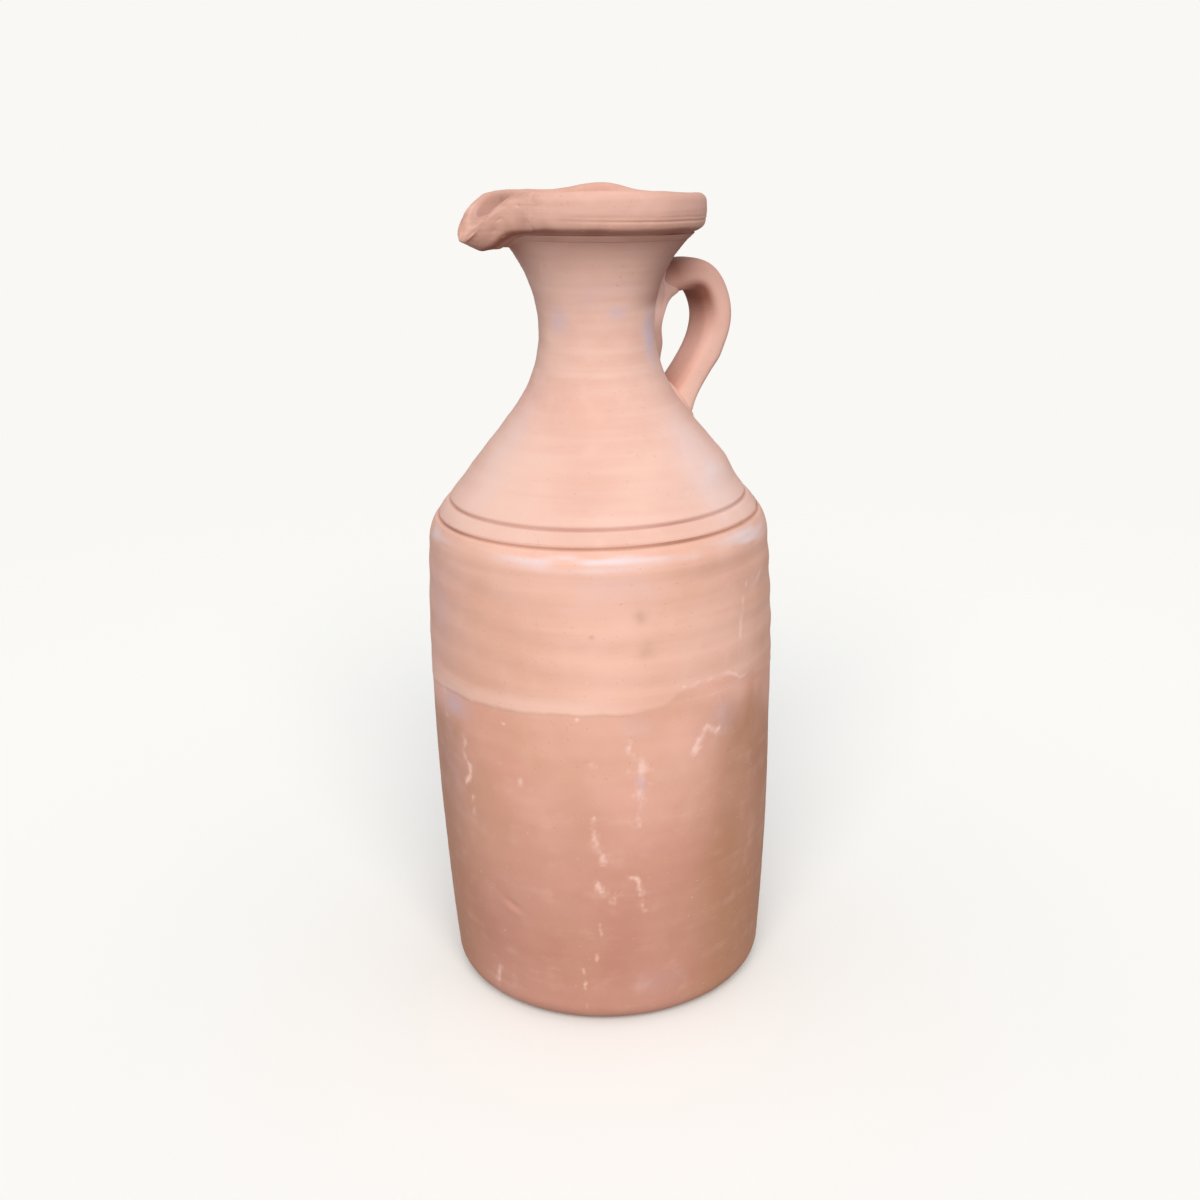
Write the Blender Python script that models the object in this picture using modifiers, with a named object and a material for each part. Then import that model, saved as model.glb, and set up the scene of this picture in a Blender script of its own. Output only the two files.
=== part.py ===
"""Terracotta water jar, modelled the way a potter builds it.

Three thrown sections stand on one another, each with a tongue that sits in the groove of the section below
and a bed of slip between them. A rolled rim with a pulled spout closes the top in the same way. A pulled
strap handle is luted to the neck and to the shoulder with pads of soft clay.

Metres, +Z up, origin at the centre of the foot. The handle stands at +X and the spout points to -X.
"""

import math

import bmesh
import bpy
import numpy as np

# Body, from the foot to the shoulder: its foot and shoulder are drawn in from the belly
BELLY_RADIUS = 0.097
BELLY_HEIGHT = 0.175
FOOT_DRAWN_IN = 0.0065
FOOT_ROUND = 0.012
SHOULDER_DRAWN_IN = 0.0028
SHOULDER_HEIGHT = 0.262
SHOULDER_ROUND = 0.025

# Neck, from the shoulder's cone to the seat of the rim
CONE_ANGLE = math.radians(37.2)
THROAT_RADIUS = 0.0312
THROAT_ROUND = 0.068
FLARE_ROUND = 0.068
FLARE_ANGLE = math.radians(45.0)
NECK_SET_OVER = 0.002
NECK_SET_RISE = 0.018
NECK_LEAN = math.radians(3.2)
NECK_LEAN_TURN = math.radians(16.0)
NECK_LEAN_RISE = 0.015

# Wall and floor
WALL = 0.008
FLOOR = 0.010
FLOOR_ROUND = 0.012

# Seams between the sections, measured along the wall
BODY_SEAM_HEIGHT = 0.195
SEAM_TONGUE = 0.004
SLIP_BED = 0.0014
CLEARANCE = 0.0003

# Turned grooves of the shoulder: the lower one hides the seam, the upper one is drawn on the cone
GROOVE_HEIGHT = 0.277
GROOVE_SPACING = 0.011
GROOVE_WIDTH = 0.0024
GROOVE_DEPTH = 0.0011

# Rim
RIM_RADIUS = 0.059
RIM_HEIGHT = 0.0226
RIM_BAND = 0.0105
RIM_ROUND = 0.004
RIM_OVERHANG_RISE = 0.003
RIM_GROOVE_DROP = 0.013
RIM_WAVE = 0.0037
RIM_WAVE_TURN = math.radians(62.0)
RIM_WAVE_SPREAD = math.radians(20.0)

# Spout, pulled out of the rim with one finger
SPOUT_REACH = 0.0192
SPOUT_DROP = 0.021
SPOUT_DROP_RAMP = 2.2
SPOUT_DROP_LAG = 0.0040
SPOUT_DROP_FLANK = 0.016
SPOUT_DROP_LEVER = 0.018
SPOUT_HALF_WIDTH = 0.0135
SPOUT_FLANK = 0.0220
SPOUT_TIP_ROUND = 0.0045
SPOUT_WALL_SPREAD = 0.35
SPOUT_PULL_DEPTH = 0.040
SPOUT_BEND_DEPTH = 0.005
SPOUT_BEND_RISE = 0.020

# Strap handle, placed from the throat
HANDLE_ROOT_RISE = 0.0225
HANDLE_CROWN_RISE = 0.0248
HANDLE_CROWN_OUT = 0.029
HANDLE_REACH_OUT = 0.0422
HANDLE_REACH_RISE = 0.0025
HANDLE_FOOT_DROP = 0.0448
HANDLE_ROOT_WAY = math.radians(8.0)
HANDLE_CROWN_WAY = math.radians(-12.0)
HANDLE_OUTER_WAY = math.radians(-90.0)
HANDLE_FOOT_WAY = math.radians(-122.0)
STRAP_WIDTH = 0.0250
STRAP_THICKNESS = 0.0162
STRAP_ROOT_GROWTH = 0.30
STRAP_FOOT_GROWTH = 0.10
STRAP_ROOT_SHARE = 0.25
STRAP_FOOT_SHARE = 0.20

# Pads of clay under the handle's two ends
LUTE_PAD = 0.0044
LUTE_MARGIN = 0.0025
LUTE_TAIL = 0.043
LUTE_TAIL_NARROWING = 0.2

# Facets
TURN_STEPS = 64
SECTION_POINTS = 16
SQUARENESS = 0.55
COLUMN_CROWDING = 0.75
HARD_EDGE = math.radians(35.0)
SEAT_SPARE = math.radians(10.0)


def smooth(t):
    """Ease from 0 to 1 as t runs from 0 to 1."""
    t = np.clip(t, 0.0, 1.0)
    return t * t * (3.0 - 2.0 * t)


def arc(radius, height, size, start, end, count):
    """Points of a round stretch about a centre, from one angle to another."""
    turn = np.linspace(start, end, count)
    return np.column_stack([radius + size * np.cos(turn), height + size * np.sin(turn)])


def wall_line():
    """Outer line of the wall from the foot's rounding to a little past the rim seat.

    Two shallow parabolas meet at the belly, an arc turns the shoulder into a straight cone, and two arcs
    make the throat and the flare. Returns the station along the line, the radius, the height and the two
    parts of the outward normal, with the stations and heights of the throat and of the rim seat.
    """
    low = np.linspace(FOOT_ROUND, BELLY_HEIGHT, 5)
    low_fall = (BELLY_HEIGHT - low) / (BELLY_HEIGHT - FOOT_ROUND)
    low_radius = BELLY_RADIUS - FOOT_DRAWN_IN * low_fall**2
    high = np.linspace(BELLY_HEIGHT, SHOULDER_HEIGHT, 4)[1:]
    high_fall = (high - BELLY_HEIGHT) / (SHOULDER_HEIGHT - BELLY_HEIGHT)
    high_radius = BELLY_RADIUS - SHOULDER_DRAWN_IN * high_fall**2

    turn = np.linspace(0.0, CONE_ANGLE, 5)[1:]
    turn_radius = high_radius[-1] - SHOULDER_ROUND * (1.0 - np.cos(turn))
    turn_height = SHOULDER_HEIGHT + SHOULDER_ROUND * np.sin(turn)

    throat = np.linspace(CONE_ANGLE, 0.0, 6)
    throat_radius = THROAT_RADIUS + THROAT_ROUND * (1.0 - np.cos(throat))
    cone_rise = (turn_radius[-1] - throat_radius[0]) / math.tan(CONE_ANGLE)
    cone_top = turn_height[-1] + cone_rise
    throat_height = cone_top + THROAT_ROUND * (math.sin(CONE_ANGLE) - np.sin(throat))

    flare = np.append(np.linspace(0.0, FLARE_ANGLE, 6)[1:], FLARE_ANGLE + SEAT_SPARE)
    flare_radius = THROAT_RADIUS + FLARE_ROUND * (1.0 - np.cos(flare))
    flare_height = throat_height[-1] + FLARE_ROUND * np.sin(flare)

    radius = np.concatenate([low_radius, high_radius, turn_radius, throat_radius, flare_radius])
    height = np.concatenate([low, high, turn_height, throat_height, flare_height])
    station = np.concatenate([[0.0], np.cumsum(np.hypot(np.diff(radius), np.diff(height)))])
    normal_radius = np.gradient(height, station)
    normal_height = -np.gradient(radius, station)
    marks = {
        "cone_top": cone_top,
        "throat": throat_height[-1],
        "seat": flare_height[-2],
        "seat_station": station[-2],
    }
    return (station, radius, height, normal_radius, normal_height), marks


LINE, MARKS = wall_line()
RIM_TOP = MARKS["seat"] + RIM_HEIGHT


def wall_point(station, inset):
    """Radius and height of points at some stations of the wall, set in from its outer face."""
    stations, radius, height, normal_radius, normal_height = LINE
    r = np.interp(station, stations, radius) - inset * np.interp(station, stations, normal_radius)
    z = np.interp(station, stations, height) - inset * np.interp(station, stations, normal_height)
    return np.stack([r, z], axis=-1)


def station_at(height):
    """Station of the outer line at a height."""
    return float(np.interp(height, LINE[2], LINE[0]))


def face_line(start, end, inset, grooves=()):
    """Points of one face of the wall between two stations, with V grooves cut into it."""
    inside = LINE[0][(LINE[0] > start) & (LINE[0] < end)]
    edges = [groove + side * GROOVE_WIDTH / 2.0 for groove in grooves for side in (-1, 0, 1)]
    stations = np.unique(np.concatenate([[start], inside, edges, [end]]))
    depth = np.zeros_like(stations)
    for groove in grooves:
        depth += GROOVE_DEPTH * np.clip(1.0 - np.abs(stations - groove) / (GROOVE_WIDTH / 2.0), 0.0, 1.0)
    return wall_point(stations, inset + depth)


def seam_shift(thickness):
    """Distance along the wall that leaves a thickness square to the sloping sides of a seam."""
    return thickness * math.hypot(SEAM_TONGUE, WALL / 2.0) / (WALL / 2.0)


BED_HALF = seam_shift(SLIP_BED) / 2.0
EDGE_SHIFT = BED_HALF + seam_shift(CLEARANCE)

BODY_SEAM = station_at(BODY_SEAM_HEIGHT)
SHOULDER_SEAM = station_at(GROOVE_HEIGHT)
UPPER_GROOVE = SHOULDER_SEAM + GROOVE_SPACING
RIM_SEAM = MARKS["seat_station"]


def seam_edge(station, shift, outer_inset=0.0):
    """Edge across the wall at a seam, from the outer face to the inner one, pointing down in the middle."""
    outer = wall_point(station + shift, outer_inset)
    middle = wall_point(station + shift - SEAM_TONGUE, WALL / 2.0)
    inner = wall_point(station + shift, WALL)
    return np.array([outer, middle, inner])


def section_profile(bottom, top, bottom_inset, top_inset, grooves=()):
    """Closed profile of a thrown section between two seams: down the outer face and up the inner one."""
    low = bottom + EDGE_SHIFT
    high = top - EDGE_SHIFT
    bevel_low = GROOVE_WIDTH / 2.0 if bottom_inset else 0.0
    bevel_high = GROOVE_WIDTH / 2.0 if top_inset else 0.0
    outer = face_line(low + bevel_low, high - bevel_high, 0.0, grooves)
    lower_edge = seam_edge(bottom, EDGE_SHIFT, bottom_inset)
    upper_edge = seam_edge(top, -EDGE_SHIFT, top_inset)
    inner = face_line(low, high, WALL)
    outer_bottom = lower_edge[:1] if bottom_inset else lower_edge[:0]
    outer_top = upper_edge[:1] if top_inset else upper_edge[:0]
    return np.concatenate([outer_top, outer[::-1], outer_bottom, lower_edge[1:2], inner, upper_edge[1:2]])


def bed_profile(station, outer_inset=0.0):
    """Closed profile of the slip in a seam."""
    upper = seam_edge(station, BED_HALF, outer_inset)
    lower = seam_edge(station, -BED_HALF, outer_inset)
    return np.concatenate([upper[:1], lower, upper[:0:-1]])


def lower_body_profile():
    """Open profile of the lower section, from the middle of the floor, up inside, over and down outside."""
    low = station_at(FLOOR + FLOOR_ROUND)
    high = BODY_SEAM - EDGE_SHIFT
    inner = face_line(low, high, WALL)
    corner = inner[0]
    floor_arc = arc(corner[0] - FLOOR_ROUND, FLOOR + FLOOR_ROUND, FLOOR_ROUND, -math.pi / 2.0, 0.0, 4)
    edge = seam_edge(BODY_SEAM, -EDGE_SHIFT)
    outer = face_line(0.0, high, 0.0)
    foot_radius = BELLY_RADIUS - FOOT_DRAWN_IN
    foot_arc = arc(foot_radius - FOOT_ROUND, FOOT_ROUND, FOOT_ROUND, 0.0, -math.pi / 2.0, 5)
    parts = [[[0.0, FLOOR]], floor_arc[:-1], inner, edge[1:2], outer[:0:-1], foot_arc, [[0.0, 0.0]]]
    return np.concatenate(parts)


def rim_profile():
    """Closed profile of the rim: over its rounded top, down the band, under it, and up the inner face."""
    seat = seam_edge(RIM_SEAM, EDGE_SHIFT)
    under = MARKS["seat"] + RIM_OVERHANG_RISE
    inner_radius = RIM_RADIUS - RIM_BAND
    shoulder = RIM_TOP - RIM_ROUND
    inner_top = arc(inner_radius + RIM_ROUND, shoulder, RIM_ROUND, math.pi, math.pi / 2.0, 3)
    outer_top = arc(RIM_RADIUS - RIM_ROUND, shoulder, RIM_ROUND, math.pi / 2.0, 0.0, 4)
    groove_height = RIM_TOP - RIM_GROOVE_DROP
    groove = [
        [RIM_RADIUS, groove_height + GROOVE_WIDTH / 2.0],
        [RIM_RADIUS - GROOVE_DEPTH, groove_height],
        [RIM_RADIUS, groove_height - GROOVE_WIDTH / 2.0],
    ]
    lower = arc(RIM_RADIUS - RIM_ROUND, under + RIM_ROUND, RIM_ROUND, 0.0, -math.pi / 2.0, 4)
    return np.concatenate([inner_top, outer_top, groove, lower, seat])


def crowd_columns(points):
    """Turn the facet columns towards the spout, the more the higher up, so that the pull has enough of them."""
    rise = smooth((points[:, 2] - MARKS["cone_top"]) / (RIM_TOP - MARKS["cone_top"]))
    turn = np.arctan2(points[:, 1], points[:, 0])
    radius = np.hypot(points[:, 0], points[:, 1])
    turn = turn + COLUMN_CROWDING * rise * np.sin(turn)
    return np.column_stack([radius * np.cos(turn), radius * np.sin(turn), points[:, 2]])


def wave_rim(points):
    """Raise one gentle wave in the rim's far side."""
    turn = np.arctan2(points[:, 1], points[:, 0])
    rise = smooth((points[:, 2] - MARKS["seat"]) / RIM_HEIGHT)
    lift = RIM_WAVE * np.exp(-(((turn - RIM_WAVE_TURN) / RIM_WAVE_SPREAD) ** 2)) * rise
    return points + np.column_stack([np.zeros((len(points), 2)), lift])


def pull_spout(points):
    """Draw the rim out to -X and down, as a finger does: most at its top, fading into the neck and sideways."""
    out = -points[:, 0]
    side = np.abs(points[:, 1])
    start = MARKS["seat"] - SPOUT_PULL_DEPTH
    rise = np.clip((points[:, 2] - start) / (RIM_TOP - start), 0.0, None)
    half = SPOUT_HALF_WIDTH + SPOUT_WALL_SPREAD * (out - RIM_RADIUS + RIM_BAND / 2.0)
    front = smooth(out / (RIM_RADIUS / 2.0))
    reach = smooth((half + SPOUT_FLANK / 2.0 - side) / SPOUT_FLANK) * front
    lever = smooth((out - RIM_RADIUS) / SPOUT_DROP_LEVER + 1.0)
    sink = smooth((half - SPOUT_DROP_LAG + SPOUT_DROP_FLANK / 2.0 - side) / SPOUT_DROP_FLANK) * lever
    bend = smooth((points[:, 2] - MARKS["seat"] + SPOUT_BEND_DEPTH) / SPOUT_BEND_RISE)
    tip = SPOUT_REACH - SPOUT_TIP_ROUND * (side / SPOUT_HALF_WIDTH) ** 2
    pulled = points.copy()
    pulled[:, 0] -= tip * reach * bend
    pulled[:, 2] -= SPOUT_DROP * sink * rise**SPOUT_DROP_RAMP
    return pulled


def lean_neck(points):
    """Bend the neck's top over, mostly towards the handle: upright above the throat, fully tipped at the rim."""
    start = MARKS["throat"] + NECK_LEAN_RISE
    length = RIM_TOP - start
    angle = NECK_LEAN * np.clip((points[:, 2] - start) / length, 0.0, None)
    bend = length / NECK_LEAN
    toward = np.array([math.cos(NECK_LEAN_TURN), math.sin(NECK_LEAN_TURN)])
    out = points[:, :2] @ toward
    above = points[:, 2] > start
    new_out = np.where(above, bend * (1.0 - np.cos(angle)), 0.0) + out * np.cos(angle)
    new_height = np.where(above, start + bend * np.sin(angle), points[:, 2]) - out * np.sin(angle)
    return np.column_stack([points[:, :2] + (new_out - out)[:, None] * toward, new_height])


def set_neck(points):
    """Carry the neck a little off the body's axis towards the handle, easing in above the shoulder seam."""
    ease = smooth((points[:, 2] - GROOVE_HEIGHT - GROOVE_SPACING) / NECK_SET_RISE)
    over = np.column_stack([NECK_SET_OVER * ease, np.zeros((len(points), 2))])
    return points + over


def hand_shaping(points):
    """All that the potter's hands do to the turned neck and rim."""
    return set_neck(lean_neck(pull_spout(wave_rim(crowd_columns(points)))))


def clay(name, colour, roughness):
    """Matte fired clay of one colour."""
    material = bpy.data.materials.new(name)
    material.use_nodes = True
    shader = material.node_tree.nodes["Principled BSDF"]
    shader.inputs["Base Color"].default_value = (*colour, 1.0)
    shader.inputs["Roughness"].default_value = roughness
    shader.inputs["Metallic"].default_value = 0.0
    return material


def place(name, mesh, collection, material=None):
    """New object for a mesh, shaded smooth with its hard edges kept."""
    thing = bpy.data.objects.new(name, mesh)
    collection.objects.link(thing)
    if material:
        mesh.materials.append(material)
    mesh.shade_smooth()
    mesh.set_sharp_from_angle(angle=HARD_EDGE)
    return thing


def turned(name, profile, collection, material=None, closed=True):
    """Profile in the XZ plane with a Screw modifier about Z."""
    count = len(profile)
    mesh = bpy.data.meshes.new(name)
    points = [(r, 0.0, z) for r, z in profile]
    edges = [(i, i + 1) for i in range(count - 1)]
    if closed:
        edges.append((count - 1, 0))
    mesh.from_pydata(points, edges, [])
    thing = place(name, mesh, collection, material)
    screw = thing.modifiers.new("turn", "SCREW")
    screw.steps = TURN_STEPS
    screw.render_steps = TURN_STEPS
    screw.merge_threshold = 0.00001
    screw.use_merge_vertices = True
    screw.use_smooth_shade = True
    return thing


def as_made(thing):
    """Replace an object by the mesh that its modifiers make."""
    graph = bpy.context.evaluated_depsgraph_get()
    mesh = bpy.data.meshes.new_from_object(thing.evaluated_get(graph))
    thing.modifiers.clear()
    thing.data = mesh
    return thing


def split_alike(shape):
    """Split each four-sided facet from its corner nearest the spout's middle, the same way on faces that mate."""
    for face in [face for face in shape.faces if len(face.verts) == 4]:
        corners = list(face.verts)
        nearest = min(range(4), key=lambda i: (round(abs(corners[i].co.y), 6), corners[i].co.x))
        bmesh.utils.face_split(face, corners[nearest], corners[nearest - 2])


def shaped(thing):
    """Apply the hand shaping to a turned object, with facets split alike on the faces that mate."""
    mesh = as_made(thing).data
    flat = np.empty(len(mesh.vertices) * 3)
    mesh.vertices.foreach_get("co", flat)
    points = hand_shaping(flat.reshape(-1, 3))
    mesh.vertices.foreach_set("co", points.ravel())
    shape = bmesh.new()
    shape.from_mesh(mesh)
    split_alike(shape)
    shape.to_mesh(mesh)
    shape.free()
    mesh.set_sharp_from_angle(angle=HARD_EDGE)
    return thing


def loft(name, rings, collection, material=None):
    """Closed solid through a row of rings of equal count, with flat ends."""
    shape = bmesh.new()
    rows = [[shape.verts.new(point) for point in ring] for ring in rings]
    count = len(rows[0])
    for low, high in zip(rows, rows[1:]):
        for i in range(count):
            j = (i + 1) % count
            shape.faces.new((low[i], low[j], high[j], high[i]))
    shape.faces.new(rows[0])
    shape.faces.new(rows[-1])
    bmesh.ops.recalc_face_normals(shape, faces=shape.faces)
    mesh = bpy.data.meshes.new(name)
    shape.to_mesh(mesh)
    shape.free()
    return place(name, mesh, collection, material)


def cut(thing, cutter, operation):
    """Boolean with the exact solver, applied at once."""
    boolean = thing.modifiers.new(operation.lower(), "BOOLEAN")
    boolean.operation = operation
    boolean.object = cutter
    boolean.solver = "EXACT"
    as_made(thing)
    thing.data.set_sharp_from_angle(angle=HARD_EDGE)


def grown_wall(name, growth, collection):
    """Cutter: the neck as a solid plug, grown outwards by some distance and shaped like the neck."""
    face = face_line(UPPER_GROOVE + GROOVE_WIDTH, RIM_SEAM - EDGE_SHIFT, -growth)
    profile = np.concatenate([[[0.0, face[-1, 1]]], face[::-1], [[0.0, face[0, 1]]]])
    plug = shaped(turned(name, profile, collection, closed=False))
    plug.hide_render = True
    plug.display_type = "WIRE"
    return plug


def curve_piece(start, end, start_way, end_way, count):
    """Cubic between two points that leaves and arrives along given ways."""
    t = np.linspace(0.0, 1.0, count)[:, None]
    pull = np.linalg.norm(end - start)
    near = start + start_way * pull / 3.0
    far = end - end_way * pull / 3.0
    return start * (1 - t) ** 3 + 3 * near * t * (1 - t) ** 2 + 3 * far * t**2 * (1 - t) + end * t**3


def way(angle):
    """Unit direction in the XZ plane, measured up from +X."""
    return np.array([math.cos(angle), math.sin(angle)])


def handle_ends():
    """Places on the leaning neck and on the cone where the strap's middle line meets the clay."""
    root = wall_point(station_at(MARKS["throat"] + HANDLE_ROOT_RISE), 0.0)
    foot = wall_point(station_at(MARKS["throat"] - HANDLE_FOOT_DROP), 0.0)
    ends = set_neck(lean_neck(np.array([[root[0], 0.0, root[1]], [foot[0], 0.0, foot[1]]])))
    return ends[0, [0, 2]], ends[1, [0, 2]]


def handle_path():
    """Middle line of the strap: out of the neck, over the crown, down its outer side and in to the shoulder."""
    root, foot = handle_ends()
    throat = np.array([THROAT_RADIUS + NECK_SET_OVER, MARKS["throat"]])
    crown = throat + [HANDLE_CROWN_OUT, HANDLE_CROWN_RISE]
    outer = throat + [HANDLE_REACH_OUT, HANDLE_REACH_RISE]
    over = curve_piece(root, crown, way(HANDLE_ROOT_WAY), way(HANDLE_CROWN_WAY), 6)
    down = curve_piece(crown, outer, way(HANDLE_CROWN_WAY), way(HANDLE_OUTER_WAY), 7)
    home = curve_piece(outer, foot, way(HANDLE_OUTER_WAY), way(HANDLE_FOOT_WAY), 9)
    into_neck = root - way(HANDLE_ROOT_WAY) * WALL
    into_cone = foot + way(HANDLE_FOOT_WAY) * WALL
    return np.concatenate([[into_neck], over, down[1:], home[1:], [into_cone]])


def strap_rings(path, growth, margin):
    """Rounded oblong sections square to a path, grown towards its ends and by an even margin."""
    ahead = np.gradient(path, axis=0)
    ahead /= np.linalg.norm(ahead, axis=1)[:, None]
    square = np.column_stack([-ahead[:, 1], ahead[:, 0]])
    turn = np.linspace(0.0, 2.0 * math.pi, SECTION_POINTS, endpoint=False)
    up = np.sign(np.cos(turn)) * np.abs(np.cos(turn)) ** SQUARENESS
    across = np.sign(np.sin(turn)) * np.abs(np.sin(turn)) ** SQUARENESS
    half_up = STRAP_THICKNESS / 2.0 * growth + margin
    half_across = STRAP_WIDTH / 2.0 * growth + margin
    x = path[:, :1] + square[:, :1] * half_up[:, None] * up
    y = half_across[:, None] * across
    z = path[:, 1:] + square[:, 1:] * half_up[:, None] * up
    return np.stack([x, y, z], axis=-1)


def end_growth(count):
    """How much the strap's section grows from its slim middle to its pressed ends."""
    share = np.linspace(0.0, 1.0, count)
    root = STRAP_ROOT_GROWTH * smooth(1.0 - share / STRAP_ROOT_SHARE)
    foot = STRAP_FOOT_GROWTH * smooth(1.0 - (1.0 - share) / STRAP_FOOT_SHARE)
    return 1.0 + root + foot


def neck_pad_rings():
    """Teardrop outline on the neck, round above the strap's root and drawn down to a tail, as a blank along X."""
    root = handle_ends()[0]
    half_up = STRAP_THICKNESS / 2.0 * (1.0 + STRAP_ROOT_GROWTH) + LUTE_MARGIN
    half_across = STRAP_WIDTH / 2.0 * (1.0 + STRAP_ROOT_GROWTH) + LUTE_MARGIN
    turn = np.linspace(0.0, 2.0 * math.pi, 2 * SECTION_POINTS, endpoint=False)
    above = np.cos(turn) > 0.0
    z = root[1] + np.where(above, half_up, LUTE_TAIL) * np.cos(turn)
    narrow = np.where(above, 1.0, 1.0 - LUTE_TAIL_NARROWING * np.abs(np.cos(turn)))
    y = half_across * np.sign(np.sin(turn)) * np.abs(np.sin(turn)) ** SQUARENESS * narrow
    rings = []
    for x in (THROAT_RADIUS - WALL, root[0] + THROAT_RADIUS):
        rings.append(np.column_stack([np.full_like(y, x), y, z]))
    return rings


def foot_pad_rings():
    """Oblong outline round the strap's foot, as a short blank along the strap."""
    foot = handle_ends()[1]
    home = way(HANDLE_FOOT_WAY)
    line = foot + np.linspace(-2.0, 2.0, 4)[:, None] * STRAP_THICKNESS * home
    return strap_rings(line, np.full(len(line), 1.0 + STRAP_FOOT_GROWTH), LUTE_MARGIN)


def empty_scene():
    """Remove every object that the file starts with."""
    for thing in list(bpy.data.objects):
        bpy.data.objects.remove(thing, do_unlink=True)


def new_collection(name):
    """Collection in the scene."""
    collection = bpy.data.collections.new(name)
    bpy.context.scene.collection.children.link(collection)
    return collection


def build():
    """Make every piece of the jar."""
    empty_scene()
    jar = new_collection("terracotta_water_jar")
    cutters = new_collection("cutters")
    red = clay("red_clay", (0.50, 0.245, 0.170), 0.85)
    pale = clay("pale_clay", (0.66, 0.36, 0.26), 0.85)
    slip = clay("slip", (0.70, 0.44, 0.34), 0.90)

    turned("lower_body", lower_body_profile(), jar, red, closed=False)
    turned("body_seam_slip", bed_profile(BODY_SEAM), jar, slip)
    turned("upper_body", section_profile(BODY_SEAM, SHOULDER_SEAM, 0.0, GROOVE_DEPTH), jar, pale)
    turned("shoulder_seam_slip", bed_profile(SHOULDER_SEAM, GROOVE_DEPTH), jar, slip)
    neck_profile = section_profile(SHOULDER_SEAM, RIM_SEAM, GROOVE_DEPTH, 0.0, [UPPER_GROOVE])
    shaped(turned("neck", neck_profile, jar, pale))
    shaped(turned("rim_seam_slip", bed_profile(RIM_SEAM), jar, slip))
    shaped(turned("pouring_rim", rim_profile(), jar, red))

    strap_seat = grown_wall("strap_seat", LUTE_PAD + CLEARANCE, cutters)
    pad_outside = grown_wall("pad_outside", LUTE_PAD, cutters)
    pad_inside = grown_wall("pad_inside", CLEARANCE, cutters)
    path = handle_path()
    handle = loft("handle", strap_rings(path, end_growth(len(path)), 0.0), jar, pale)
    cut(handle, strap_seat, "DIFFERENCE")
    pads = {"handle_top_lute": neck_pad_rings(), "handle_foot_lute": foot_pad_rings()}
    for name, rings in pads.items():
        pad = loft(name, rings, jar, slip)
        cut(pad, pad_outside, "INTERSECT")
        cut(pad, pad_inside, "DIFFERENCE")


build()
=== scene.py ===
"""Looks of the terracotta water jar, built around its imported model.

Every piece of clay is a fine surface worked out from the same dimensions as the solids, with what the
potter's hands, the wheel and years of use left on it: finger rings, a ragged coat of slip, incised lines,
a pulled spout, lime runs and dust. Metres, +Z up, the handle at +X and the spout at -X.
"""

import math

import bpy
import numpy as np
from mathutils import Matrix


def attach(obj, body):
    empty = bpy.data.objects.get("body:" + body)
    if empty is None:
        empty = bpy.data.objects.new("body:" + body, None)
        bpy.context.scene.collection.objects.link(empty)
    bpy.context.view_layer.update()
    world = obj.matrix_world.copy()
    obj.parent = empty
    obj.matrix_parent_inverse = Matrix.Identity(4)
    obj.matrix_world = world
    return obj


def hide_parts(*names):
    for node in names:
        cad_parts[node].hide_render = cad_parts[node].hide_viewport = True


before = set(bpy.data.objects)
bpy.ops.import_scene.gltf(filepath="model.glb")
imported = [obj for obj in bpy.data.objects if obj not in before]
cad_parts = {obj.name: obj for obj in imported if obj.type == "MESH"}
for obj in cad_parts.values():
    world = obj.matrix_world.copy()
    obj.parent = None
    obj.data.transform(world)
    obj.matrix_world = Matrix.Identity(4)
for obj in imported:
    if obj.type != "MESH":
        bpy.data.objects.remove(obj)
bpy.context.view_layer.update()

# Body, from the foot to the shoulder
BELLY_RADIUS = 0.097
BELLY_HEIGHT = 0.175
FOOT_DRAWN_IN = 0.0065
FOOT_ROUND = 0.0135
SHOULDER_DRAWN_IN = 0.0028
SHOULDER_HEIGHT = 0.262
SHOULDER_ROUND = 0.025

# Neck, from the shoulder's cone to the seat of the rim
CONE_ANGLE = math.radians(37.2)
THROAT_RADIUS = 0.0312
THROAT_ROUND = 0.068
FLARE_ROUND = 0.068
FLARE_ANGLE = math.radians(45.0)
NECK_SET_OVER = 0.002
NECK_SET_RISE = 0.018
NECK_LEAN = math.radians(3.2)
NECK_LEAN_TURN = math.radians(16.0)
NECK_LEAN_RISE = 0.015

# Wall, floor and seams
WALL = 0.008
FLOOR = 0.010
FLOOR_ROUND = 0.012
BODY_SEAM_HEIGHT = 0.195
SEAM_TONGUE = 0.004
SEAM_TONGUE_SHARES = (0.15, 1.0, 0.0)
SEAM_DEPTH_SHARES = (0.08, 0.5, 1.0)
BED_HALF = 0.001
SEAM_GAP = 0.0014
GROOVE_HEIGHT = 0.277
GROOVE_SPACING = 0.011
GROOVE_DEPTH = 0.0015
GROOVE_HALF_WIDTH = 0.0010

# Rim and spout
RIM_RADIUS = 0.059
RIM_HEIGHT = 0.0226
RIM_BAND = 0.0105
RIM_ROUND = 0.004
RIM_OVERHANG_RISE = 0.003
RIM_LINE_DROP = 0.0140
RIM_BOW = 0.0013
RIM_WAVE = 0.0046
RIM_WAVE_TURN = math.radians(58.7)
RIM_WAVE_SPREAD = math.radians(20.0)
SPOUT_REACH = 0.0200
SPOUT_DROP = 0.021
SPOUT_DROP_RAMP = 2.2
SPOUT_DROP_LAG = 0.0048
SPOUT_DROP_FLANK = 0.016
SPOUT_DROP_LEVER = 0.018
SPOUT_HALF_WIDTH = 0.0135
SPOUT_FLANK = 0.0220
SPOUT_TIP_ROUND = 0.0055
SPOUT_WALL_SPREAD = 0.35
SPOUT_PULL_DEPTH = 0.040
SPOUT_BEND_DEPTH = 0.005
SPOUT_BEND_RISE = 0.020
SPOUT_TURN = math.pi

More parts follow.
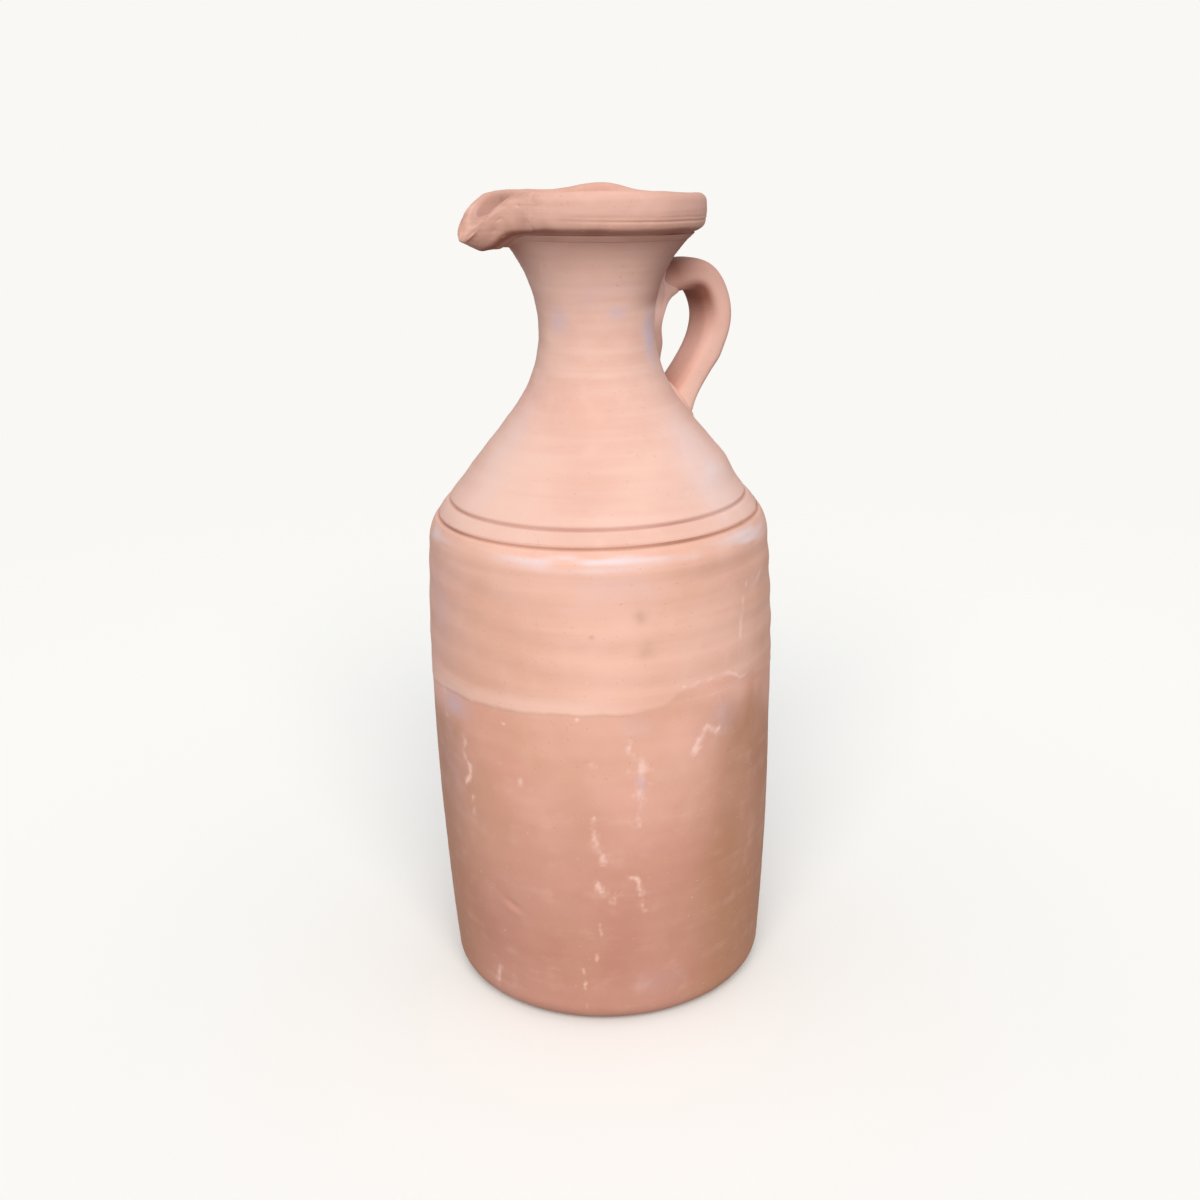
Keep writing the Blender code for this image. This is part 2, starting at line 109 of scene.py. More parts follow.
# Strap handle
HANDLE_ROOT_RISE = 0.0225
HANDLE_CROWN_RISE = 0.0244
HANDLE_CROWN_OUT = 0.029
HANDLE_REACH_OUT = 0.0422
HANDLE_REACH_RISE = 0.0025
HANDLE_FOOT_DROP = 0.0448
HANDLE_ROOT_WAY = math.radians(8.0)
HANDLE_CROWN_WAY = math.radians(-12.0)
HANDLE_OUTER_WAY = math.radians(-90.0)
HANDLE_FOOT_WAY = math.radians(-122.0)
STRAP_WIDTH = 0.0250
STRAP_THICKNESS = 0.0162
STRAP_SQUARENESS = 0.62
LUTE_TAIL = 0.055

# Relief of the walls in metres: stretches for window(), hills for hills() and rough terms for rough()
COAT_THICKNESS = 0.00024
COAT_EDGE_EASING = 2.4
COAT_TEETH = [(0.0006, 0.007, 3.0), (0.0004, 0.0025, 5.0)]
COAT_SOFTNESS = 0.0022
COAT_SOFTER = 0.0060
COAT_SOFT_SIDE = (2.0, 16.0, 80.0, 16.0)
COAT_BEAD = (0.00010, 0.0014, 0.0012)
RING_DRIFT = 0.35
RING_DRIFT_SIZE = 0.09
RING_FADE = 0.35
RING_FADE_SIZE = 0.07
HIGH_RINGS = (0.00036, 0.0185, 7.0)
LOW_RINGS = (0.00006, 0.013, 11.0)
RINGS_STRETCH = (0.192, 0.012, 0.266, 0.012)
RINGS_SWEEP = 0.011
RINGS_SWEEP_SIDE = (-170.0, 70.0, 5.0, 60.0)
BODY_WANDER = [(0.00045, 0.075, 13.0), (0.00016, 0.022, 17.0)]
DENT_TURN = -34.0
DENT_HEIGHT = 0.0715
DENT_SLOPE = 0.35
DENT_HALF_LENGTH = 0.006
DENT_PROFILE = [(-0.0007, 0.0, 0.0022), (0.0004, -0.0045, 0.0022)]
FOOT_CHIPS = [(0.0002, 0.012, 47.0)]
FOOT_CHIPS_TOP = 0.014
FOOT_CHIPS_EASE = 0.012
GROOVE_WAVER = 0.0004
GROOVE_WAVER_TURN = 0.6
GROOVE_BEAD = 0.0004
GROOVE_BEAD_HALF = 0.0036
NECK_RINGS = [(0.00010, 0.0125, 19.0), (0.00004, 0.0045, 23.0)]
NECK_WANDER = [(0.00035, 0.06, 29.0)]
NECK_FADE_START = 0.016
NECK_FADE_RISE = 0.010
NECK_FADE_FALL = 0.006
CONE_BULGE = (0.0012, 0.303, 0.016)
SCRATCH_DEPTH = 0.00008
SCRATCH_WAVE = 0.00033
SCRATCH_RISE = 0.026
SCRATCH_EASE = 0.010

# Slip in the seams: its lift in the middle of its lip, its sink at the edge, and half widths of the lips
SLIP_LIFT = 0.00003
SLIP_SINK = 0.00013
BODY_SLIP_HALF = 0.0040
SHOULDER_SLIP_HALF = 0.0018
RIM_SLIP_HALF = 0.0022
RIM_SLIP_BEAD = 0.0001

# Incised lines, knocks and knuckle marks on the rim, measured in the same way
RIM_LINE = (-0.00040, 0.0, 0.0005)
RIM_TWINS = [(-0.00014, -0.0020, 0.0006), (-0.00009, 0.0024, 0.0006)]
RIM_LINE_WAVER = [(0.0005, 0.05, 53.0)]
RIM_LINE_LEAST = 0.30
RIM_LINE_KEEN = [(0.80, 44.0, 48.0), (0.5, 170.0, 60.0)]
RIM_LINE_SIDE = 0.0045
RIM_LINE_SIDE_EASE = 0.002
RIM_LINE_CLEAR = 0.50
RIM_LINE_CLEAR_EASE = 0.45
RIM_KNOCKS = [(0.00034, 0.018, 59.0), (0.00012, 0.006, 61.0)]
RIM_BOW_MIDDLE = 0.0085
RIM_BOW_HALF = 0.0095
RIM_BOW_END = 0.0215
RIM_BOW_EASE = 0.002
CHEEK_HALF = 0.45
CHEEK_SIDE = 0.0060
CHEEK_EASE = 0.003
KNUCKLES = [(0.00100, 0.0070, 67.0), (0.00045, 0.0030, 101.0)]
PITS = [(2.5, 0.0024, 83.0)]
PIT_DEPTH = 0.00055

# Presses on the spout's lips: depth, sideways middle and half width, then start and growth outwards
LIP_PRESSES = [
    (0.0036, -0.0085, 0.0075, 0.048, 0.012),  # near lip
    (0.0032, -0.0070, 0.0058, 0.060, 0.010),  # near lip at the tip
    (0.0018, 0.0195, 0.0045, 0.050, 0.010),  # far lip's shoulder
    (-0.0013, 0.0115, 0.0042, 0.060, 0.008),  # far lip near the tip, raised
]
LIP_PRESS_DROP = 0.0095
LIP_PRESS_EASE = 0.008
BOTH_LIPS_PRESS = 0.0014
BOTH_LIPS_STRETCH = (0.018, 0.034, 0.070, 0.012)
TROUGH_PRESS = (0.0010, 0.0010, 0.0052)
TROUGH_STRETCH = (0.056, 0.008, 0.076, 0.010)
SPOUT_SAG = 0.0014
SPOUT_SAG_DROP = 0.012
SPOUT_SAG_EASE = 0.006
SPOUT_SAG_STRETCH = (0.044, 0.010, 0.074, 0.012)
TIP_LIFT = 0.0011
TIP_LIFT_OUT = 0.066
TIP_LIFT_GROWTH = 0.010
TIP_LIFT_DROP = 0.007
TIP_LIFT_EASE = 0.007
WEAR_ROUNDS = 50
WEAR_STEP = 0.6
WEAR_HALF = 0.55
WEAR_DROP = 0.0185
WEAR_EASE = 0.002

# Form of the strap along its length, and of the smears that hold it
STRAP_SUNK = 0.7 * WALL
STRAP_FLARE = 0.006
STRAP_INNER = [(0.0018, 0.044, 0.026)]
STRAP_OUTER = [(0.0010, 0.056, 0.022), (0.0008, 0.080, 0.005)]
STRAP_FOOT_INNER = 0.0030
STRAP_FOOT_OUTER = 0.0018
STRAP_FOOT_WIDE = 0.0010
STRAP_ROOT_OUTER = 0.0008
STRAP_ROOT_WIDE = 0.0003
STRAP_LINE = 0.00016
STRAP_LINES = 9.0
STRAP_KNOCK = 0.00035
STRAP_KNOCK_LENGTH = 0.016
STRAP_KNOCK_SEED = 71.0
STRAP_KNOCKS_ROUND = 6
LUTE_TOP = 0.0150
LUTE_HALF = 0.0205
LUTE_EDGE = 0.28
LUTE_EDGE_SINK = 0.0003
LUTE_KEY = 0.0012
LUTE_RIPPLE = 0.00022
LUTE_RIPPLE_WAVE = 0.0026
LUTE_RIPPLE_SLANT = 60.0
LUTE_SQUARENESS = 0.75
PAD_HALF = 0.025
PAD_THICKNESS = 0.0052
PAD_THINNED = 0.0035
PAD_EASE = 0.010
CORNER_OVERLAP = 0.001
CORNER_HEIGHT = 0.024
CORNER_DEPTH = 0.0105
CORNER_HALF = 0.0148
CORNER_RISE = 0.004
CORNER_FADE = 0.0025
FOOT_LUTE = 0.0150
FOOT_LUTE_HALF = 0.0170
CUSHION_THICKNESS = 0.0030

# Columns round the pieces, how far they crowd on one side, and steps between rows
BODY_COLUMNS = 420
BODY_CROWDING = 0.45
NECK_COLUMNS = 430
NECK_CROWDING = 0.2
RIM_COLUMNS = 600
RIM_CROWDING = 0.35
STRAP_COLUMNS = 72
STRAP_ROWS = 220
STRAP_EASING_ROWS = 12
CORNER_ROWS = 12
LOWER_STEP = 0.0013
UPPER_STEP = 0.0011
NECK_STEP = 0.0012
INNER_STEP = 0.004
FLOOR_STEP = 0.006
CLOSEST_ROWS = 0.00012
FLAT_START = 0.05
FLAT_ROWS = 14

# Factors that mix a place and a seed into a fixed value that looks random
MIX_U = 127.1
MIX_V = 311.7
MIX_SEED = 74.7
MIX_SIZE = 43758.5453

# Side of the jar that the marks on it are measured from, and the camera that stands on that side
FRONT = math.radians(-119.0)
CAMERA_DISTANCE = 0.7979
CAMERA_HEIGHT = 0.4796
CAMERA_TILT = math.radians(17.93)
CAMERA_ROLL = math.radians(-1.41)
CAMERA_LENS = 44.02
CAMERA_CLIP = 0.01

# The photograph's frame in pixels, and the width of the camera's sensor in millimetres
PHOTO_SIDE = 1200
SENSOR_WIDTH = 36.0

# Stretch of a sight line that is searched for the wall, in metres, and the number of its steps
SIGHT_START = 0.5
SIGHT_END = 1.1
SIGHT_STEPS = 4001

# Lower edge of the pale coat, as points read off the photograph, in pixels right and down
COAT_EDGE_SEEN = [
    (448, 688), (470, 701), (496, 708), (540, 714), (598, 716), (640, 713), (660, 706), (683, 690),
    (708, 679), (730, 672), (741, 680), (747, 672), (758, 672),
]

# The same edge on the sides that the photograph doesn't show: degrees round from the front, millimetres up
COAT_EDGE_LEFT = [(-180, 186), (-120, 184), (-80, 184)]
COAT_EDGE_RIGHT = [(80, 187), (120, 186), (180, 186)]

# Lime runs: strength, half width in millimetres, then points read off the photograph
LIME_RUNS = [
    (0.95, 0.9, [(629, 740), (629, 751), (634, 758), (639, 764)]),
    (0.95, 2.0, [(639, 764), (638, 774), (639, 799)]),
    (0.70, 1.5, [(640, 799), (639, 825)]),
    (1.00, 1.0, [(720, 722), (718, 730), (706, 727), (702, 736), (697, 745), (693, 753)]),
    (0.50, 0.8, [(720, 697), (720, 711)]),
    (0.95, 0.9, [(465, 742), (464, 752), (469, 764), (470, 774), (466, 785)]),
    (0.85, 0.8, [(473, 797), (474, 816)]),
    (0.75, 1.1, [(594, 820), (593, 836), (597, 845)]),
    (0.60, 1.3, [(600, 853), (603, 866)]),
    (0.66, 1.4, [(599, 886), (600, 891)]),
    (0.75, 0.9, [(630, 877), (638, 880), (641, 889), (641, 899), (645, 909)]),
    (0.45, 1.7, [(614, 901), (626, 892)]),
    (0.50, 0.7, [(600, 925), (600, 938)]),
    (0.60, 1.0, [(597, 957), (596, 961)]),
    (0.66, 0.7, [(584, 969), (585, 979), (586, 1008)]),
    (0.58, 1.3, [(501, 968), (498, 977)]),
    (0.85, 0.8, [(442, 684), (447, 694)]),
    (0.55, 0.7, [(444, 704), (448, 716)]),
    (1.00, 0.6, [(746, 583), (742, 599), (740, 630), (738, 655)]),
    (1.00, 0.7, [(752, 586), (757, 577), (759, 570)]),
]

# Lime spots: strength, radius in millimetres, point on the photograph
LIME_SPOTS = [
    (0.95, 1.5, (503, 723)), (0.95, 1.4, (576, 721)), (0.60, 2.6, (520, 782)), (0.45, 3.4, (592, 766)),
    (0.40, 1.6, (516, 753)), (0.55, 0.8, (463, 858)), (0.60, 0.8, (472, 926)), (0.80, 0.9, (594, 820)),
    (0.70, 0.9, (727, 585)), (0.90, 1.0, (453, 683)), (0.55, 1.6, (588, 684)), (0.90, 1.2, (684, 687)),
    (0.45, 0.7, (633, 919)), (0.45, 0.7, (637, 934)), (0.45, 0.7, (679, 976)), (0.45, 0.7, (740, 853)),
]

# Violet-grey haze left by hands and lime: strength, half widths across and up in millimetres, point
HAZE = [
    (0.55, 16, 9, (454, 702)), (0.28, 30, 45, (440, 600)), (0.25, 22, 60, (451, 770)),
    (0.05, 22, 40, (760, 640)), (0.30, 14, 14, (724, 716)), (0.22, 18, 10, (655, 982)),
    (0.25, 34, 10, (622, 590)), (0.22, 12, 10, (638, 726)), (0.48, 2.8, 11, (641, 783)),
]

# The same on the neck, with its width in degrees
NECK_HAZE = [
    (0.55, 14, 9, (555, 322)), (0.45, 14, 5, (614, 313)), (0.66, 13, 17, (646, 338)),
    (0.20, 14, 40, (520, 420)), (0.25, 20, 10, (585, 300)), (0.25, 40, 5, (604, 290)),
]

# Painted light on the cone's sides, pale dust and painted light on the neck, measured in the same way, and a
# chip's white scratch
NECK_PAINTED_LIGHT = [(0.52, 22, 34, (700, 465)), (0.32, 18, 34, (495, 465))]
# Of these pale hills the first two are painted light on the cone's sides, the others pale dust
NECK_DUST_AND_LIGHT = [
    (0.70, 24, 36, (712, 480)), (0.60, 20, 36, (480, 490)), (0.45, 50, 14, (595, 265)),
    (0.50, 14, 16, (549, 332)), (0.30, 34, 5, (598, 284)),
]
NECK_SCRATCH = [(537, 268), (538, 277), (540, 284)]

# Points on the neck down to which it is darkened: by a faint stain all round, and by painted shade by the
# handle
NECK_RING = (604, 276)
NECK_SHADE = (648, 314)

# Darker smudges: strength, radius in millimetres, point
SMUDGES = [(0.32, 3.5, (640, 617)), (0.45, 0.9, (591, 638)), (0.80, 0.7, (729, 750)), (0.2, 5.0, (646, 652))]

# Marks on the body, in the same forms. Millimetres to a degree are the belly's
MM_PER_DEGREE = math.radians(1.0) * BELLY_RADIUS * 1000.0
FAR_AWAY = 1000.0
WOBBLE_ACROSS = [(0.8, 0.004, 31.0)]
WOBBLE_UP = [(0.8, 0.004, 37.0)]
LIME_EVEN = 0.76
LIME_PATCHES = [(0.60, 0.0045, 41.0)]
LIME_PROFILE = [(0.48, 0.0, 1.5), (0.42, 0.0, 5.0)]
EDGE_LIME = [(1.3, 42.0, 14.0), (0.55, -62.0, 9.0)]
EDGE_LIME_BAND = (1.0, 0.0006, 0.0015)
EDGE_LIME_EVEN = 0.6
EDGE_LIME_PATCHES = [(0.5, 0.004, 43.0)]
BROWN_TOP = 0.185
BROWN_TOP_EASE = 0.02
BROWN_BELOW = 0.75
BROWN_BELOW_EASE = 0.030
BROWN_BELOW_SIDE = (15.0, 35.0, 110.0, 30.0)
BROWN_ABOVE = 0.24
BROWN_ABOVE_SIDE = (38.0, 20.0, 110.0, 30.0)
BROWN_LEFT = (0.7, -70.0, 22.0)
BROWN_PATCH = (0.42, -9.0, 14.0)
BROWN_PATCH_LEVEL = (1.0, 0.127, 0.030)
# Whitish bloom on the shoulder's rounding, partly a painted highlight
SHORE = (1.0, 0.2705, 0.0048)
SHORE_BLOOM_AND_HIGHLIGHT = [(0.78, -6.0, 34.0), (0.9, 60.0, 20.0), (0.6, -70.0, 18.0)]
WIPES_ROUND = 36
WIPE_HEIGHT = 0.0024
WIPE_SEED = 73.0
WIPED_EVEN = 0.60
WIPED_PATCHY = 0.62
THICK_EDGE = (0.55, 0.0045, 0.0040)
THICK_SIDE = (-90.0, 20.0, 10.0, 20.0)
BARE_SPOT = (0.20, 40.0, 15.0)
BARE_SPOT_LEVEL = (1.0, 0.2605, 0.0055)

# The same on the grooves, the neck, the rim, the strap and the smear under it; much of it is painted shade
# Painted shade at the bottom of the grooves
GROOVE_SHADE = 0.42
GROOVE_SHADE_PATCHES = [(0.2, 0.03, 79.0)]
GROOVE_SHADE_HALF = 0.0007
# Painted shade on the neck under the rim all round, and more under the spout
UNDER_RIM_SHADE = 0.50
UNDER_RIM_REACH = 0.007
UNDER_SPOUT_SHADE = (0.52, -66.0, 17.0)
UNDER_SPOUT_REACH = 0.012
# Painted shade on the neck's side towards the handle
SHADE_BY_HANDLE = 0.66
SHADE_BY_HANDLE_SIDE = (22.0, 58.0, 165.0, 45.0)
NECK_SHADE_EASE = 8.0
NECK_STAIN = 0.05
NECK_RING_WAVER = [(0.8, 0.03, 109.0)]
NECK_RING_EASE = 1.6
NECK_SCRATCH_PROFILE = (0.8, 0.0, 1.1)
# Painted shade on the slip in the corner under the rim, more by the handle and under the spout
SLIP_SHADE = 0.50
SLIP_SHADE_PATCHES = [(0.08, 0.02, 89.0)]
SLIP_SHADE_BY_HANDLE = 0.26
SLIP_SHADE_UNDER_SPOUT = (0.22, -66.0, 20.0)
# Painted shade under the rim's lower edge
RIM_UNDER_DROP = 0.0165
RIM_UNDER_EASE = 0.0022
RIM_UNDER_SIDE_EASE = 0.002
RIM_UNDER_SHADE = 0.74
RIM_UNDER_PATCHES = [(0.1, 0.02, 97.0)]
# The rim's band is darker on the side towards the handle
RIM_SIDE_DARKENING = 0.14
RIM_DARKER_SIDE = (20.0, 45.0, 140.0, 40.0)
# Painted shade in the spout's trough, partly as a violet tint
TROUGH_RADIUS = 0.0525
TROUGH_EASE = 0.003
TROUGH_HALF = 0.5
TROUGH_SHADE = 0.26
TROUGH_SHADE_TINT = 0.15
# Patchy dirt on the cheeks, and painted shade low on them under the spout
CHEEK_DIRT = 0.10
CHEEK_PATCHES = [(0.26, 0.006, 103.0), (0.16, 0.0022, 107.0)]
CHEEK_LOW_SHADE = 0.40
CHEEK_LOW_DROP = 0.011
CHEEK_LOW_EASE = 0.008
# On the strap: a little dirt all over, painted shade at its root, on the inner side and inside the foot, and
# pale dust
STRAP_DIRT = 0.12
ROOT_SHADE = 0.80
ROOT_SHADE_START = 0.010
ROOT_SHADE_REACH = 0.016
INNER_SHADE = 0.95
INNER_SHADE_PLACE = (1.0, 0.038, 0.022)
FOOT_INNER_SHADE = 0.50
FOOT_INNER_SHADE_REACH = 0.020
FOOT_DUST = 0.60
FOOT_DUST_START = 0.012
FOOT_DUST_REACH = 0.018
# Painted shade on the smear under the strap, near its root and down its tail
LUTE_SHADE = 0.38
LUTE_TAIL_DARK = 0.016
LUTE_TAIL_EASE = 0.012
LUTE_ROOT_DARK = 0.015
LUTE_ROOT_EASE = 0.010


def smooth(t):
    """Ease from 0 to 1 as t runs from 0 to 1."""
    t = np.clip(t, 0.0, 1.0)
    return t * t * (3.0 - 2.0 * t)


def swell(t):
    """Round hill of height 1 about t = 0."""
    return np.exp(-t * t)


def field(u, v, seed, wrap):
    """Smooth uneven field from -1 to 1: a fixed value at each whole place of u and v, eased in between.

    It repeats after a whole number of places of u, so that it closes round the jar.
    """
    cell_u = np.floor(u)
    cell_v = np.floor(v)
    ease_u = smooth(u - cell_u)
    ease_v = smooth(v - cell_v)

    def value(a, b):
        mixed = np.sin(np.mod(a, wrap) * MIX_U + b * MIX_V + seed * MIX_SEED) * MIX_SIZE
        return 2.0 * (mixed - np.floor(mixed)) - 1.0

    low = value(cell_u, cell_v) * (1.0 - ease_u) + value(cell_u + 1, cell_v) * ease_u
    high = value(cell_u, cell_v + 1) * (1.0 - ease_u) + value(cell_u + 1, cell_v + 1) * ease_u
    return low * (1.0 - ease_v) + high * ease_v


def uneven(turn, height, size, seed, radius=BELLY_RADIUS):
    """Uneven field on the wall, with hills of about one size in metres."""
    places = max(int(round(2.0 * math.pi * radius / size)), 3)
    return field(turn / (2.0 * math.pi) * places, height / size, seed, places)


def window(value, start, rise, end, fall):
    """Share from 0 to 1 of a value that lies between a start and an end, eased over a rise and a fall."""
    return smooth((value - start) / rise) * smooth((end - value) / fall)


def hills(value, places):
    """Sum of round hills along a value, each with its height, middle and half width."""
    return sum(height * swell((value - middle) / half) for height, middle, half in places)


def fading(distance, length):
    """Share that is 1 up to a distance of 0 and then falls by a factor of e over each length."""
    return np.exp(-np.clip(distance, 0.0, None) / length)


def rough(turn, level, terms, radius=BELLY_RADIUS):
    """Sum of uneven fields on a wall, each with its height, the size of its hills and a seed."""
    return sum(height * uneven(turn, level, size, seed, radius) for height, size, seed in terms)


def round_from_front(turn):
    """Degrees round the jar from its front, from -180 to 180."""
    return np.degrees(np.mod(turn - FRONT + math.pi, 2.0 * math.pi) - math.pi)


def wall_line():
    """Outer line of the wall: two shallow parabolas, the shoulder's arc, a straight cone and two neck arcs.

    Returns the station along the line, the radius, the height and the outward normal, with the heights of
    the throat and of the rim's seat.
    """
    low = np.linspace(FOOT_ROUND, BELLY_HEIGHT, 60)
    low_radius = BELLY_RADIUS - FOOT_DRAWN_IN * ((BELLY_HEIGHT - low) / (BELLY_HEIGHT - FOOT_ROUND)) ** 2
    high = np.linspace(BELLY_HEIGHT, SHOULDER_HEIGHT, 40)[1:]
    high_fall = (high - BELLY_HEIGHT) / (SHOULDER_HEIGHT - BELLY_HEIGHT)
    high_radius = BELLY_RADIUS - SHOULDER_DRAWN_IN * high_fall**2
    turn = np.linspace(0.0, CONE_ANGLE, 30)[1:]
    turn_radius = high_radius[-1] - SHOULDER_ROUND * (1.0 - np.cos(turn))
    turn_height = SHOULDER_HEIGHT + SHOULDER_ROUND * np.sin(turn)
    throat = np.linspace(CONE_ANGLE, 0.0, 40)
    throat_radius = THROAT_RADIUS + THROAT_ROUND * (1.0 - np.cos(throat))
    cone_top = turn_height[-1] + (turn_radius[-1] - throat_radius[0]) / math.tan(CONE_ANGLE)
    throat_height = cone_top + THROAT_ROUND * (math.sin(CONE_ANGLE) - np.sin(throat))
    flare = np.linspace(0.0, FLARE_ANGLE * 1.15, 47)[1:]
    flare_radius = THROAT_RADIUS + FLARE_ROUND * (1.0 - np.cos(flare))
    flare_height = throat_height[-1] + FLARE_ROUND * np.sin(flare)
    cone = np.linspace(0.0, 1.0, 30)[1:-1]
    cone_radius = turn_radius[-1] + (throat_radius[0] - turn_radius[-1]) * cone
    cone_height = turn_height[-1] + (cone_top - turn_height[-1]) * cone
    radius = np.concatenate([low_radius, high_radius, turn_radius, cone_radius, throat_radius, flare_radius])
    height = np.concatenate([low, high, turn_height, cone_height, throat_height, flare_height])
    station = np.concatenate([[0.0], np.cumsum(np.hypot(np.diff(radius), np.diff(height)))])
    normal = np.stack([np.gradient(height, station), -np.gradient(radius, station)], axis=1)
    normal /= np.linalg.norm(normal, axis=1)[:, None]
    throat_mark = throat_height[-1]
    return (station, radius, height, normal), throat_mark, throat_mark + FLARE_ROUND * math.sin(FLARE_ANGLE)


LINE, THROAT, SEAT = wall_line()
RIM_TOP = SEAT + RIM_HEIGHT


def station_at(height):
    """Station of the outer line at a height."""
    return float(np.interp(height, LINE[2], LINE[0]))


BODY_SEAM = station_at(BODY_SEAM_HEIGHT)
SHOULDER_SEAM = station_at(GROOVE_HEIGHT)
UPPER_GROOVE = SHOULDER_SEAM + GROOVE_SPACING
RIM_SEAM = station_at(SEAT)

# Stretches of stations with closer rows: middle, half and step
LOWER_FINE = [(BODY_SEAM - 0.006, 0.005, 0.0006)]
UPPER_FINE = [(BODY_SEAM + 0.005, 0.006, 0.0006), (SHOULDER_SEAM, 0.003, 0.0003)]
NECK_FINE = [(SHOULDER_SEAM, 0.003, 0.0003), (UPPER_GROOVE, 0.003, 0.0003)]


def wall_rows(station, inset):
    """Rows of a turned wall: radius, height and outward normal at some stations, set in from outside."""
    station = np.asarray(station, float)
    normal = np.stack([np.interp(station, LINE[0], LINE[3][:, i]) for i in range(2)], axis=1)
    line = np.stack([np.interp(station, LINE[0], LINE[i]) for i in (1, 2)], axis=1)
    return np.concatenate([line - normal * np.asarray(inset)[..., None], normal], axis=1)


def spaced(start, end, step, fine=()):
    """Stations from start to end a step apart, with closer ones in each fine stretch."""
    stations = [np.linspace(start, end, max(int(round((end - start) / step)), 2) + 1)]
    for middle, half, small in fine:
        near = np.arange(middle - half, middle + half, small)
        stations.append(near[(near > start) & (near < end)])
    merged = np.unique(np.concatenate(stations))
    keep = np.concatenate([[True], np.diff(merged) > CLOSEST_ROWS])
    keep[-1] = True
    return merged[keep]


def on_wall(pixels):
    """Places on the upright wall that photo points show: degrees round from the front and millimetres up.

    Each sight line starts at the camera, turned by its roll and tilt, and is followed in small steps until
    its distance from the axis is no more than the wall's radius at that height.
    """
    focal = PHOTO_SIDE * CAMERA_LENS / SENSOR_WIDTH
    across, down = ((np.array(pixels, float) - PHOTO_SIDE / 2.0) / focal).reshape(-1, 2).T
    right = across * math.cos(CAMERA_ROLL) + down * math.sin(CAMERA_ROLL)
    up = across * math.sin(CAMERA_ROLL) - down * math.cos(CAMERA_ROLL)
    ahead = math.cos(CAMERA_TILT) + up * math.sin(CAMERA_TILT)
    rise = up * math.cos(CAMERA_TILT) - math.sin(CAMERA_TILT)
    gone = np.linspace(SIGHT_START, SIGHT_END, SIGHT_STEPS)
    side = right[:, None] * gone
    near = CAMERA_DISTANCE - ahead[:, None] * gone
    height = CAMERA_HEIGHT + rise[:, None] * gone
    met = np.argmax(np.hypot(side, near) <= np.interp(height, LINE[2], LINE[1]), axis=1)
    each = np.arange(len(met))
    around = np.degrees(np.arctan2(side[each, met], near[each, met]))
    return np.stack([around, 1000.0 * height[each, met]], axis=1)


COAT_EDGE = np.concatenate([COAT_EDGE_LEFT, on_wall(COAT_EDGE_SEEN), COAT_EDGE_RIGHT])


def round_columns(count, crowding, side):
    """Turns round the axis, closer on one side: an even turn less a share of its sine about that side."""
    even = np.linspace(0.0, 2.0 * math.pi, count, endpoint=False)
    return side + even - crowding * np.sin(even)


def turned(rows, turn, relief):
    """Turned surface: each row carried round the axis, moved along its outward normal by the relief."""
    radius = rows[:, :1] + rows[:, 2:3] * relief
    height = rows[:, 1:2] + rows[:, 3:4] * relief
    return np.stack([radius * np.cos(turn), radius * np.sin(turn), height + np.zeros_like(radius)], axis=-1)


def coat_edge(turn):
    """Height of the coat's ragged lower edge: seen places joined up and eased, with small uneven teeth."""
    around = round_from_front(turn)
    places, heights = COAT_EDGE.T
    shifts = np.linspace(-COAT_EDGE_EASING, COAT_EDGE_EASING, 5)
    eased = [np.interp(around + shift, places, heights) for shift in shifts]
    return sum(eased) / len(eased) / 1000.0 + rough(turn, 0.0 * turn, COAT_TEETH)


def coat(turn, height):
    """How far the pale coat covers a place: 0 below its edge, 1 above, with a softer edge on the right."""
    softness = COAT_SOFTNESS + COAT_SOFTER * window(round_from_front(turn), *COAT_SOFT_SIDE)
    return smooth((height - coat_edge(turn)) / softness + 0.5)


def finger_rings(turn, height, high, pitch, seed):
    """Rings that climb like a screw: a sine of height over pitch plus one turn, uneven in strength."""
    drift = RING_DRIFT * uneven(turn, height, RING_DRIFT_SIZE, seed)
    strength = 1.0 - RING_FADE + RING_FADE * uneven(turn, height, RING_FADE_SIZE, seed + 1.0)
    return high * strength * np.sin(2.0 * math.pi * (height / pitch + drift) + turn)


def body_relief(turn, height):
    """Outward relief of the body: coat, coat's bead, finger rings, hand-made unevenness and one dent."""
    around = round_from_front(turn)
    crisp = 1.0 - window(around, *COAT_SOFT_SIDE)
    layer = COAT_THICKNESS * coat(turn, height) + crisp * hills(height - coat_edge(turn), [COAT_BEAD])
    upper = window(height, *RINGS_STRETCH)
    swept = height - RINGS_SWEEP * window(around, *RINGS_SWEEP_SIDE)
    rings = upper * finger_rings(turn, swept, *HIGH_RINGS)
    rings = rings + (1.0 - upper) * finger_rings(turn, height, *LOW_RINGS)
    across = np.radians(around - DENT_TURN) * BELLY_RADIUS
    slant = height - DENT_HEIGHT + DENT_SLOPE * across
    dent = swell(across / DENT_HALF_LENGTH) * hills(slant, DENT_PROFILE)
    return layer + rings + rough(turn, height, BODY_WANDER) + dent


def in_grooves(turn, station, half):
    """How far a place lies in one of the shoulder's two grooves, of which the upper one wavers a little."""
    upper = UPPER_GROOVE + GROOVE_WAVER * np.sin(turn + GROOVE_WAVER_TURN)
    return swell((station - SHOULDER_SEAM) / half) + swell((station - upper) / half)


def shoulder_relief(turn, station):
    """Relief near the shoulder: two round-bottomed grooves with a slight bead between them."""
    bead = (GROOVE_BEAD, 0.5 * (SHOULDER_SEAM + UPPER_GROOVE), GROOVE_BEAD_HALF)
    return hills(station, [bead]) - GROOVE_DEPTH * in_grooves(turn, station, GROOVE_HALF_WIDTH)


def groove_shade(turn, station):
    """Painted shade from 0 to 1 at the bottom of the two grooves, patchy round the jar."""
    patchy = GROOVE_SHADE + rough(turn, station, GROOVE_SHADE_PATCHES)
    return np.clip(in_grooves(turn, station, GROOVE_SHADE_HALF) * patchy, 0.0, 1.0)


